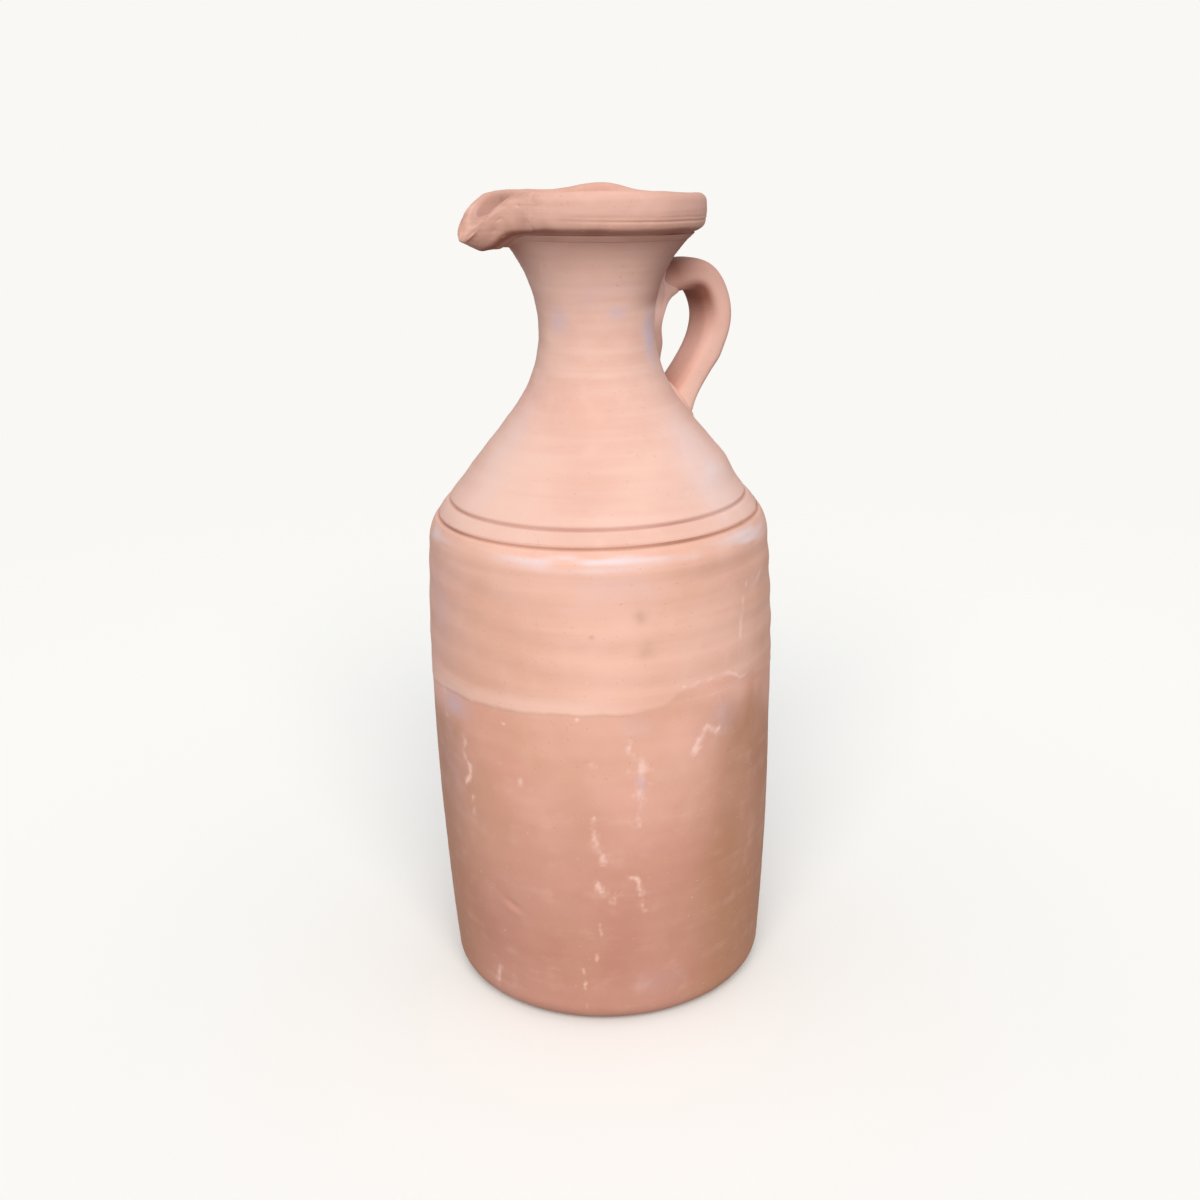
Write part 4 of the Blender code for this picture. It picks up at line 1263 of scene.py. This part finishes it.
def rim_rows():
    """Closed loop of the rim: over its top, down the band, round its lower edge, along the seat and up."""
    arc_in = np.linspace(math.pi, math.pi / 2.0, 12)
    arc_out = np.linspace(math.pi / 2.0, 0.0, 14)
    arc_low = np.linspace(0.0, -math.pi / 2.0, 12)
    inner_radius = RIM_RADIUS - RIM_BAND
    shoulder = RIM_TOP - RIM_ROUND
    under = SEAT + RIM_OVERHANG_RISE

    def bow(radius, height, angle):
        return np.stack([radius + RIM_ROUND * np.cos(angle), height + RIM_ROUND * np.sin(angle)], axis=1)

    band = np.linspace(shoulder, under + RIM_ROUND, 36)[1:-1]
    face = np.stack([0.0 * band + RIM_RADIUS, band], axis=1)
    low = bow(RIM_RADIUS - RIM_ROUND, under + RIM_ROUND, arc_low)
    seat = seam_rows(RIM_SEAM, SEAM_GAP)[:, :2]
    share = np.linspace(0.0, 1.0, 6)[1:-1, None]
    underside = low[-1] * (1.0 - share) + seat[0] * share
    share = np.linspace(0.0, 1.0, 16)[1:-1, None]
    top_in = bow(inner_radius + RIM_ROUND, shoulder, arc_in)
    inside = seat[-1] * (1.0 - share) + top_in[0] * share
    loop = [top_in, bow(RIM_RADIUS - RIM_ROUND, shoulder, arc_out), face, low, underside, seat, inside]
    line = np.concatenate(loop)
    drop = RIM_TOP - line[:, 1]
    outward = smooth((line[:, 0] - inner_radius) / RIM_BAND) * smooth((RIM_BOW_END - drop) / RIM_BOW_EASE)
    line[:, 0] -= RIM_BOW * outward * ((drop - RIM_BOW_MIDDLE) / RIM_BOW_HALF) ** 2
    along = np.roll(line, -1, axis=0) - np.roll(line, 1, axis=0)
    normal = np.stack([-along[:, 1], along[:, 0]], axis=1)
    normal /= np.linalg.norm(normal, axis=1)[:, None]
    share = np.ones(len(line))
    hidden = sum(len(part) for part in loop[:5])
    share[hidden : hidden + len(seat)] = 0.0
    return np.concatenate([line, normal], axis=1), share


def angle_from_spout(turn):
    """Angle round the axis from the spout's middle, without its sign."""
    return np.abs(np.mod(turn - SPOUT_TURN + math.pi, 2.0 * math.pi) - math.pi)


def on_cheeks(turn, radius):
    """Share from 0 to 1 of lying on the outside of the spout's cheeks, fading away from the spout."""
    outside = smooth((radius - RIM_RADIUS + CHEEK_SIDE) / CHEEK_EASE)
    return swell(angle_from_spout(turn) / CHEEK_HALF) * outside


def rim_relief(turn, drop, radius):
    """Relief of the rim: an incised line, keenest on some sides, with a faint twin each side, and knocks."""
    outside = smooth((radius - RIM_RADIUS + RIM_LINE_SIDE) / RIM_LINE_SIDE_EASE)
    clear = smooth((angle_from_spout(turn) - RIM_LINE_CLEAR) / RIM_LINE_CLEAR_EASE)
    keen = RIM_LINE_LEAST + hills(round_from_front(turn), RIM_LINE_KEEN)
    level = drop - RIM_LINE_DROP - rough(turn, 0.0 * turn, RIM_LINE_WAVER)
    lines = keen * hills(level, [RIM_LINE]) + hills(level, RIM_TWINS)
    return lines * clear * outside + rough(turn, drop, RIM_KNOCKS, RIM_RADIUS)


def cheek_relief(turn, drop, radius):
    """Relief of the spout's cheeks: knuckle marks, and small pits where a finer field is high."""
    pits = PIT_DEPTH * smooth(rough(turn, drop, PITS, RIM_RADIUS) - 1.0)
    return on_cheeks(turn, radius) * (rough(turn, drop, KNUCKLES, RIM_RADIUS) - pits)


def press_lips(points, drop, share):
    """Press the pulled lips down from above, most of all the near one at the tip, so that it ends round.

    A press is a round hill sideways that grows outwards from where it starts. Below the lips the clay sags a
    little where the spout leaves the rim, and lifts at the tip.
    """
    out = -points[..., 0]
    side = points[..., 1]
    press = BOTH_LIPS_PRESS * window(out, *BOTH_LIPS_STRETCH)
    press = press + hills(side, [TROUGH_PRESS]) * window(out, *TROUGH_STRETCH)
    for depth, middle, half, start, growth in LIP_PRESSES:
        press = press + depth * swell((side - middle) / half) * smooth((out - start) / growth)
    sag = SPOUT_SAG * smooth((drop - SPOUT_SAG_DROP) / SPOUT_SAG_EASE) * window(out, *SPOUT_SAG_STRETCH)
    low = smooth((drop - TIP_LIFT_DROP) / TIP_LIFT_EASE)
    lift = TIP_LIFT * smooth((out - TIP_LIFT_OUT) / TIP_LIFT_GROWTH) * low
    pressed = points.copy()
    pressed[..., 2] += (lift - sag) * share - press * smooth((LIP_PRESS_DROP - drop) / LIP_PRESS_EASE)
    return pressed


def worn(points, share):
    """Wear a grid of points smooth: each moves, round by round, towards the mean of its four neighbours."""
    smoothed = points.copy()
    for _ in range(WEAR_ROUNDS):
        rows = np.roll(smoothed, 1, axis=0) + np.roll(smoothed, -1, axis=0)
        columns = np.roll(smoothed, 1, axis=1) + np.roll(smoothed, -1, axis=1)
        smoothed += WEAR_STEP * share[..., None] * ((rows + columns) / 4.0 - smoothed)
    return smoothed


def rim_marks(turn, drop, radius):
    """Marks on the rim: painted shade below its edge, low on the cheeks and, tinted violet, in the trough;
    darker towards the handle; dirt on the cheeks.
    """
    inner = RIM_RADIUS - RIM_BAND
    # Painted shade under the band's lower edge and in the spout's trough
    under = smooth((drop - RIM_UNDER_DROP) / RIM_UNDER_EASE)
    under = under * smooth((radius - inner) / RIM_UNDER_SIDE_EASE)
    trough = smooth((TROUGH_RADIUS - radius) / TROUGH_EASE) * swell(angle_from_spout(turn) / TROUGH_HALF)
    dirt_and_shade = under * (RIM_UNDER_SHADE + rough(turn, drop, RIM_UNDER_PATCHES)) + TROUGH_SHADE * trough
    # Darker on the side towards the handle
    dirt_and_shade = dirt_and_shade + RIM_SIDE_DARKENING * window(round_from_front(turn), *RIM_DARKER_SIDE)
    # Painted shade low on the cheeks, under the spout, with patchy dirt on them
    low_cheek = CHEEK_LOW_SHADE * smooth((drop - CHEEK_LOW_DROP) / CHEEK_LOW_EASE)
    patches = CHEEK_DIRT + rough(turn, drop, CHEEK_PATCHES, RIM_RADIUS)
    dirt_and_shade = dirt_and_shade + on_cheeks(turn, radius) * (patches + low_cheek)
    return {"dirt_and_shade": np.clip(dirt_and_shade, 0.0, 1.0), "haze_and_shade": TROUGH_SHADE_TINT * trough}


def pouring_rim():
    """Rim with its pulled spout: a closed loop of rows with incised lines, then shaped by hand."""
    turn = round_columns(RIM_COLUMNS, RIM_CROWDING, SPOUT_TURN)[None, :]
    rows, share = rim_rows()
    share = share[:, None]
    radius = rows[:, :1]
    drop = RIM_TOP - rows[:, 1:2]
    points = hand_shaping(turned(rows, turn, rim_relief(turn, drop, radius) * share))
    points = press_lips(points, drop, share)
    points = worn(points, swell(angle_from_spout(turn) / WEAR_HALF) * smooth((WEAR_DROP - drop) / WEAR_EASE))
    normals = np.concatenate([0.0 * rows[:, :2], rows[:, 2:]], axis=1)
    points = points + turned(normals, turn, cheek_relief(turn, drop, radius) * share)
    new_piece("pouring_rim", points, True, RIM_CLAY, rim_marks(turn, drop, radius))


def curve_piece(start, end, start_way, end_way):
    """Cubic between two points that leaves and arrives along given ways."""
    t = np.linspace(0.0, 1.0, 80)[:, None]
    pull = np.linalg.norm(end - start)
    near = start + start_way * pull / 3.0
    far = end - end_way * pull / 3.0
    return start * (1 - t) ** 3 + 3 * near * t * (1 - t) ** 2 + 3 * far * t**2 * (1 - t) + end * t**3


def way(angle):
    """Unit direction in the XZ plane, measured up from +X."""
    return np.array([math.cos(angle), math.sin(angle)])


def handle_ends():
    """Places on the leaning neck and on the cone where the strap's middle line meets the clay."""
    stations = [station_at(THROAT + HANDLE_ROOT_RISE), station_at(THROAT - HANDLE_FOOT_DROP)]
    ends = wall_rows(stations, np.zeros(2))
    places = np.stack([ends[:, 0], np.zeros(2), ends[:, 1]], axis=1)
    return set_neck(lean_neck(places))[:, [0, 2]]


def handle_path():
    """Middle line of the strap in even steps: out of the neck, over the crown, down and in to the cone."""
    root, foot = handle_ends()
    throat = np.array([THROAT_RADIUS + NECK_SET_OVER, THROAT])
    crown = throat + [HANDLE_CROWN_OUT, HANDLE_CROWN_RISE]
    outer = throat + [HANDLE_REACH_OUT, HANDLE_REACH_RISE]
    over = curve_piece(root, crown, way(HANDLE_ROOT_WAY), way(HANDLE_CROWN_WAY))
    down = curve_piece(crown, outer, way(HANDLE_CROWN_WAY), way(HANDLE_OUTER_WAY))
    home = curve_piece(outer, foot, way(HANDLE_OUTER_WAY), way(HANDLE_FOOT_WAY))
    into_neck = root - way(HANDLE_ROOT_WAY) * STRAP_SUNK
    into_cone = foot + way(HANDLE_FOOT_WAY) * STRAP_SUNK
    line = np.concatenate([[into_neck], over, down[1:], home[1:], [into_cone]])
    gone = np.concatenate([[0.0], np.cumsum(np.linalg.norm(np.diff(line, axis=0), axis=1))])
    even = np.linspace(0.0, gone[-1], STRAP_ROWS)
    path = np.stack([np.interp(even, gone, line[:, i]) for i in range(2)], axis=1)
    ends = STRAP_EASING_ROWS
    soft = np.hanning(2 * ends + 1)
    padded = np.concatenate([np.repeat(path[:1], ends, 0), path, np.repeat(path[-1:], ends, 0)])
    eased = np.stack([np.convolve(padded[:, i], soft / soft.sum(), "valid") for i in range(2)], axis=1)
    eased[:ends] = path[:ends]
    eased[-ends:] = path[-ends:]
    return eased, even


def strap_marks(up, gone, from_root, from_foot):
    """Marks on the strap: painted shade at its root and on its inner side, a little dirt all over, and pale
    dust towards its foot.

    The height in the strap's section, from -1 inside to 1 outside, says how far a place faces in or out.
    """
    outside = smooth(0.5 * up + 0.62)
    inside = smooth(-1.5 * up - 0.1)
    deep_inside = smooth(-2.0 * up - 0.9)
    # Painted shade at the root under the rim, on the loop's inner side and inside the foot
    shade = ROOT_SHADE * fading(from_root - ROOT_SHADE_START, ROOT_SHADE_REACH) * outside
    inner = inside * hills(gone, [INNER_SHADE_PLACE])
    inner = inner + FOOT_INNER_SHADE * deep_inside * fading(from_foot, FOOT_INNER_SHADE_REACH)
    dirt_and_shade = np.clip(shade + INNER_SHADE * inner + STRAP_DIRT, 0.0, 1.0)
    dust = FOOT_DUST * fading(from_foot - FOOT_DUST_START, FOOT_DUST_REACH) * smooth(1.5 * up + 1.2)
    return {"dirt_and_shade": dirt_and_shade * (1.0 - dust), "dust_and_light": dust}


def handle():
    """Pulled strap: a rounded oblong section square to the path, which flares at both ends."""
    path, gone = handle_path()
    ahead = np.gradient(path, axis=0)
    ahead /= np.linalg.norm(ahead, axis=1)[:, None]
    square = np.stack([-ahead[:, 1], ahead[:, 0]], axis=1)
    turn = np.linspace(0.0, 2.0 * math.pi, STRAP_COLUMNS, endpoint=False)[None, :]
    up = np.sign(np.cos(turn)) * np.abs(np.cos(turn)) ** STRAP_SQUARENESS
    across = np.sign(np.sin(turn)) * np.abs(np.sin(turn)) ** STRAP_SQUARENESS
    gone = gone[:, None]
    from_root = gone - STRAP_SUNK
    from_foot = gone[-1] - gone - STRAP_SUNK
    root = fading(from_root, STRAP_FLARE)
    foot = fading(from_foot, STRAP_FLARE)
    inner = hills(gone, STRAP_INNER) + STRAP_FOOT_INNER * foot
    outer = hills(gone, STRAP_OUTER) + STRAP_ROOT_OUTER * root + STRAP_FOOT_OUTER * foot
    lines = STRAP_LINE * np.sin(STRAP_LINES * turn) * np.abs(np.sin(turn))
    knock_turn = turn / (2.0 * math.pi) * STRAP_KNOCKS_ROUND
    knocks = field(knock_turn, gone / STRAP_KNOCK_LENGTH, STRAP_KNOCK_SEED, STRAP_KNOCKS_ROUND)
    knocks = STRAP_KNOCK * knocks
    half_up = STRAP_THICKNESS / 2.0 + np.where(up < 0.0, inner, outer) + lines + knocks
    half_across = STRAP_WIDTH / 2.0 + STRAP_ROOT_WIDE * root + STRAP_FOOT_WIDE * foot + knocks
    x = path[:, :1] + square[:, :1] * half_up * up
    z = path[:, 1:] + square[:, 1:] * half_up * up
    points = np.stack([x, half_across * across, z], axis=-1)
    points[..., 0] = np.maximum(points[..., 0], held_back(points))
    marks = strap_marks(up, gone, from_root, from_foot)
    new_piece("handle", points, False, HANDLE_CLAY, marks)


def on_neck(side, height, lift):
    """Points on the neck's leaning outer face at a sideways place and a height, lifted off it."""
    station = np.interp(height, LINE[2], LINE[0])
    rows = wall_rows(station.ravel(), -lift.ravel()).reshape(*station.shape, 4)
    turn = np.arcsin(np.clip(side / rows[..., 0], -1.0, 1.0))
    points = np.stack([rows[..., 0] * np.cos(turn), rows[..., 0] * np.sin(turn), rows[..., 1]], axis=-1)
    return set_neck(lean_neck(points))


def held_back(points):
    """Least x that keeps points of the strap in the wall's outer half, found at their height in two tries."""
    depth = np.full(points.shape[:2], -WALL / 2.0)
    tried = on_neck(points[..., 1], points[..., 2], depth)
    settled = on_neck(points[..., 1], 2.0 * points[..., 2] - tried[..., 2], depth)
    return settled[..., 0]


def smeared_pad(node, middle, half_up, half_down, half_across, thickness, reach, dark):
    """Smear of clay on the neck in an egg outline, with rows from the middle out to its edge and back inside.

    Its thickness falls away towards the edge. Thickness, square to the neck, and reach, along the strap, are
    functions of the sideways place and the height.
    """
    turn = np.linspace(0.0, 2.0 * math.pi, 120, endpoint=False)[None, :]
    share = np.linspace(0.03, 1.0, 60)[:, None]
    wobble = 1.0 + 0.05 * np.sin(3.0 * turn + 0.7) + 0.025 * np.sin(7.0 * turn)
    up = np.where(np.cos(turn) > 0.0, half_up, half_down) * np.cos(turn) * wobble
    across = half_across * np.sign(np.sin(turn)) * np.abs(np.sin(turn)) ** LUTE_SQUARENESS
    height = middle + share * up
    side = share * across
    edge = smooth((1.0 - share) / LUTE_EDGE)
    ripple = LUTE_RIPPLE * np.sin(height / LUTE_RIPPLE_WAVE + LUTE_RIPPLE_SLANT * side)
    outer = on_neck(side, height, (thickness(side, height) + ripple) * edge - LUTE_EDGE_SINK)
    outer[..., [0, 2]] += (reach(side, height) * edge)[..., None] * way(HANDLE_ROOT_WAY)
    inner = on_neck(side[::-1], height[::-1], -LUTE_KEY + 0.0 * side)
    drop = middle - height
    # Painted shade near the strap's root and down the smear's lower tail
    tail = smooth((drop - LUTE_TAIL_DARK) / LUTE_TAIL_EASE)
    dirt_and_shade = dark * (tail + smooth((LUTE_ROOT_DARK - drop) / LUTE_ROOT_EASE)) + 0.0 * side
    marks = {"dirt_and_shade": np.concatenate([dirt_and_shade, 0.0 * dirt_and_shade])}
    new_piece(node, np.concatenate([outer, inner]), False, LUTE_CLAY, marks)


def lutes():
    """Smears that hold the handle: a long wedge drawn down the neck, and a short one on the cone."""
    root, foot = handle_ends()
    under = root[1] - STRAP_THICKNESS / 2.0 + CORNER_OVERLAP

    def pad(side, height):
        """Thin pad on the neck, thinner above the strap's underside."""
        wide = np.clip(1.0 - (side / PAD_HALF) ** 4, 0.0, 1.0)
        return (PAD_THICKNESS - PAD_THINNED * smooth((height - under) / PAD_EASE)) * wide

    def corner(side, height):
        """Corner of clay that curves out under the strap like a quarter of an egg and ends inside it."""
        below = np.clip((under - height) / CORNER_HEIGHT, 0.0, 1.0)
        deep = CORNER_DEPTH * (1.0 - np.sqrt(1.0 - (1.0 - below) ** 2))
        deep = deep * fading(height - under - CORNER_RISE, CORNER_FADE)
        return deep * np.clip(1.0 - (side / CORNER_HALF) ** 8, 0.0, 1.0)

    def cushion(side, height):
        """Low round smear round the strap's foot."""
        return CUSHION_THICKNESS + 0.0 * side * height

    def nothing(side, height):
        """No reach along the strap."""
        return 0.0 * side * height

    smeared_pad("handle_top_lute", root[1], LUTE_TOP, LUTE_TAIL, LUTE_HALF, pad, corner, LUTE_SHADE)
    smeared_pad("handle_foot_lute", foot[1], FOOT_LUTE, FOOT_LUTE, FOOT_LUTE_HALF, cushion, nothing, 0.0)


# Studio: floor, sky and sun
FLOOR_MIDDLE = 0.02
FLOOR_RADIUS = 2.2
FLOOR_DEPTH = 2.0
FLOOR_SINK = 0.0002
FLOOR_FADE = (0.45, 1.3)
FLOOR_LIT = tone(172, 171, 170)
FLOOR_SEEN = tone(248, 250, 248)
BACKDROP = tone(250, 248, 244)
SKY_LOW = (0.22, 0.22, 0.24, 1.0)
SKY_HIGH = (0.55, 0.55, 0.57, 1.0)
SKY_SPAN = (-0.15, 0.55)
SUN_ENERGY = 2.8
SUN_TONE = tone(255, 250, 244)
SUN_SPREAD = math.radians(50.0)
SUN_LIFT = math.radians(34.0)


def studio_floor():
    """Pale floor that fades into the background: a deep closed disc, paler to the camera than to light."""
    turn = np.linspace(0.0, 2.0 * math.pi, 96, endpoint=False)[None, :]
    radius = np.linspace(FLOOR_MIDDLE, FLOOR_RADIUS, 40)[:, None]
    level = 0.0 * radius * turn - FLOOR_SINK
    ground = np.stack([radius * np.cos(turn), radius * np.sin(turn), level], axis=-1)
    below = ground[::-1] - np.array([0.0, 0.0, FLOOR_DEPTH])
    mesh = new_mesh("floor", np.concatenate([ground, below]), False)
    floor = bpy.data.objects.new("floor", mesh)
    bpy.context.scene.collection.objects.link(floor)
    paint, tree, shader = plain_material("floor_paint")
    seen = Wire.add(tree, "ShaderNodeLightPath", {}, {}, "Is Camera Ray")
    colour = mixed(tree, seen, FLOOR_LIT, FLOOR_SEEN)
    tree.links.new(colour.socket, shader.inputs["Base Color"])
    shader.inputs["Roughness"].default_value = 1.0
    shader.inputs["Specular IOR Level"].default_value = 0.0
    place = Wire.add(tree, "ShaderNodeTexCoord", {}, {}, "Object")
    distance = Wire.add(tree, "ShaderNodeVectorMath", {"operation": "LENGTH"}, {0: place}, "Value")
    fade = between(tree, distance, *FLOOR_FADE)
    clear = Wire.add(tree, "ShaderNodeBsdfTransparent", {}, {})
    blend = Wire.add(tree, "ShaderNodeMixShader", {}, {0: fade, 1: Wire(shader.outputs[0]), 2: clear})
    tree.links.new(blend.socket, tree.nodes["Material Output"].inputs["Surface"])
    mesh.materials.append(paint)


def studio_sky():
    """Even sky, brighter above. Camera, glossy and transmitted rays see the plain backdrop instead."""
    world = bpy.data.worlds.new("studio")
    bpy.context.scene.world = world
    world.use_nodes = True
    tree = world.node_tree
    light = tree.nodes["Background"]
    light.inputs["Strength"].default_value = 1.0
    way_up = Wire.add(tree, "ShaderNodeTexCoord", {}, {}, "Generated")
    level = Wire.add(tree, "ShaderNodeSeparateXYZ", {}, {0: way_up}, "Z")
    glow = mixed(tree, between(tree, level, *SKY_SPAN), SKY_LOW, SKY_HIGH)
    tree.links.new(glow.socket, light.inputs["Color"])
    seen = Wire.add(tree, "ShaderNodeBackground", {}, {"Color": BACKDROP, "Strength": 1.0})
    kinds = ("Is Camera Ray", "Is Glossy Ray", "Is Transmission Ray")
    first, *others = (Wire.add(tree, "ShaderNodeLightPath", {}, {}, kind) for kind in kinds)
    rays = sum(others, first)
    sky = Wire.add(tree, "ShaderNodeMixShader", {}, {0: rays, 1: Wire(light.outputs[0]), 2: seen})
    tree.links.new(sky.socket, tree.nodes["World Output"].inputs["Surface"])


def facing_front(lift):
    """Turn of a lamp or camera on the front side that looks at the jar's axis, down from a lift angle."""
    around = Matrix.Rotation(FRONT + math.pi / 2.0, 4, "Z")
    return around @ Matrix.Rotation(math.pi / 2.0 - lift, 4, "X")


def studio_sun():
    """One broad soft sun from the front."""
    lamp = bpy.data.lights.new("soft_sun", "SUN")
    lamp.energy = SUN_ENERGY
    lamp.color = SUN_TONE[:3]
    lamp.angle = SUN_SPREAD
    sun = bpy.data.objects.new("soft_sun", lamp)
    sun.matrix_world = facing_front(SUN_LIFT)
    bpy.context.scene.collection.objects.link(sun)


def camera():
    """Camera at the photograph's place: on the front side, tilted down and rolled, with plain colours."""
    scene = bpy.context.scene
    scene.view_settings.view_transform = "Standard"
    lens = bpy.data.cameras.new("camera")
    lens.lens = CAMERA_LENS
    lens.sensor_width = SENSOR_WIDTH
    lens.clip_start = CAMERA_CLIP
    eye = bpy.data.objects.new("camera", lens)
    place = (CAMERA_DISTANCE * math.cos(FRONT), CAMERA_DISTANCE * math.sin(FRONT), CAMERA_HEIGHT)
    roll = Matrix.Rotation(CAMERA_ROLL, 4, "Z")
    eye.matrix_world = Matrix.Translation(place) @ facing_front(CAMERA_TILT) @ roll
    scene.collection.objects.link(eye)
    scene.camera = eye


lower_body()
body_ring("body_seam_slip", seam_slip(BODY_SEAM, BODY_SLIP_HALF), SLIP_CLAY)
upper_section = section(BODY_SEAM, SHOULDER_SEAM, UPPER_STEP, UPPER_FINE)
body_ring("upper_body", upper_section, UPPER_CLAY)
body_ring("shoulder_seam_slip", seam_slip(SHOULDER_SEAM, SHOULDER_SLIP_HALF), SLIP_CLAY)
neck()
rim_seam_slip()
pouring_rim()
handle()
lutes()
studio_floor()
studio_sky()
studio_sun()
camera()
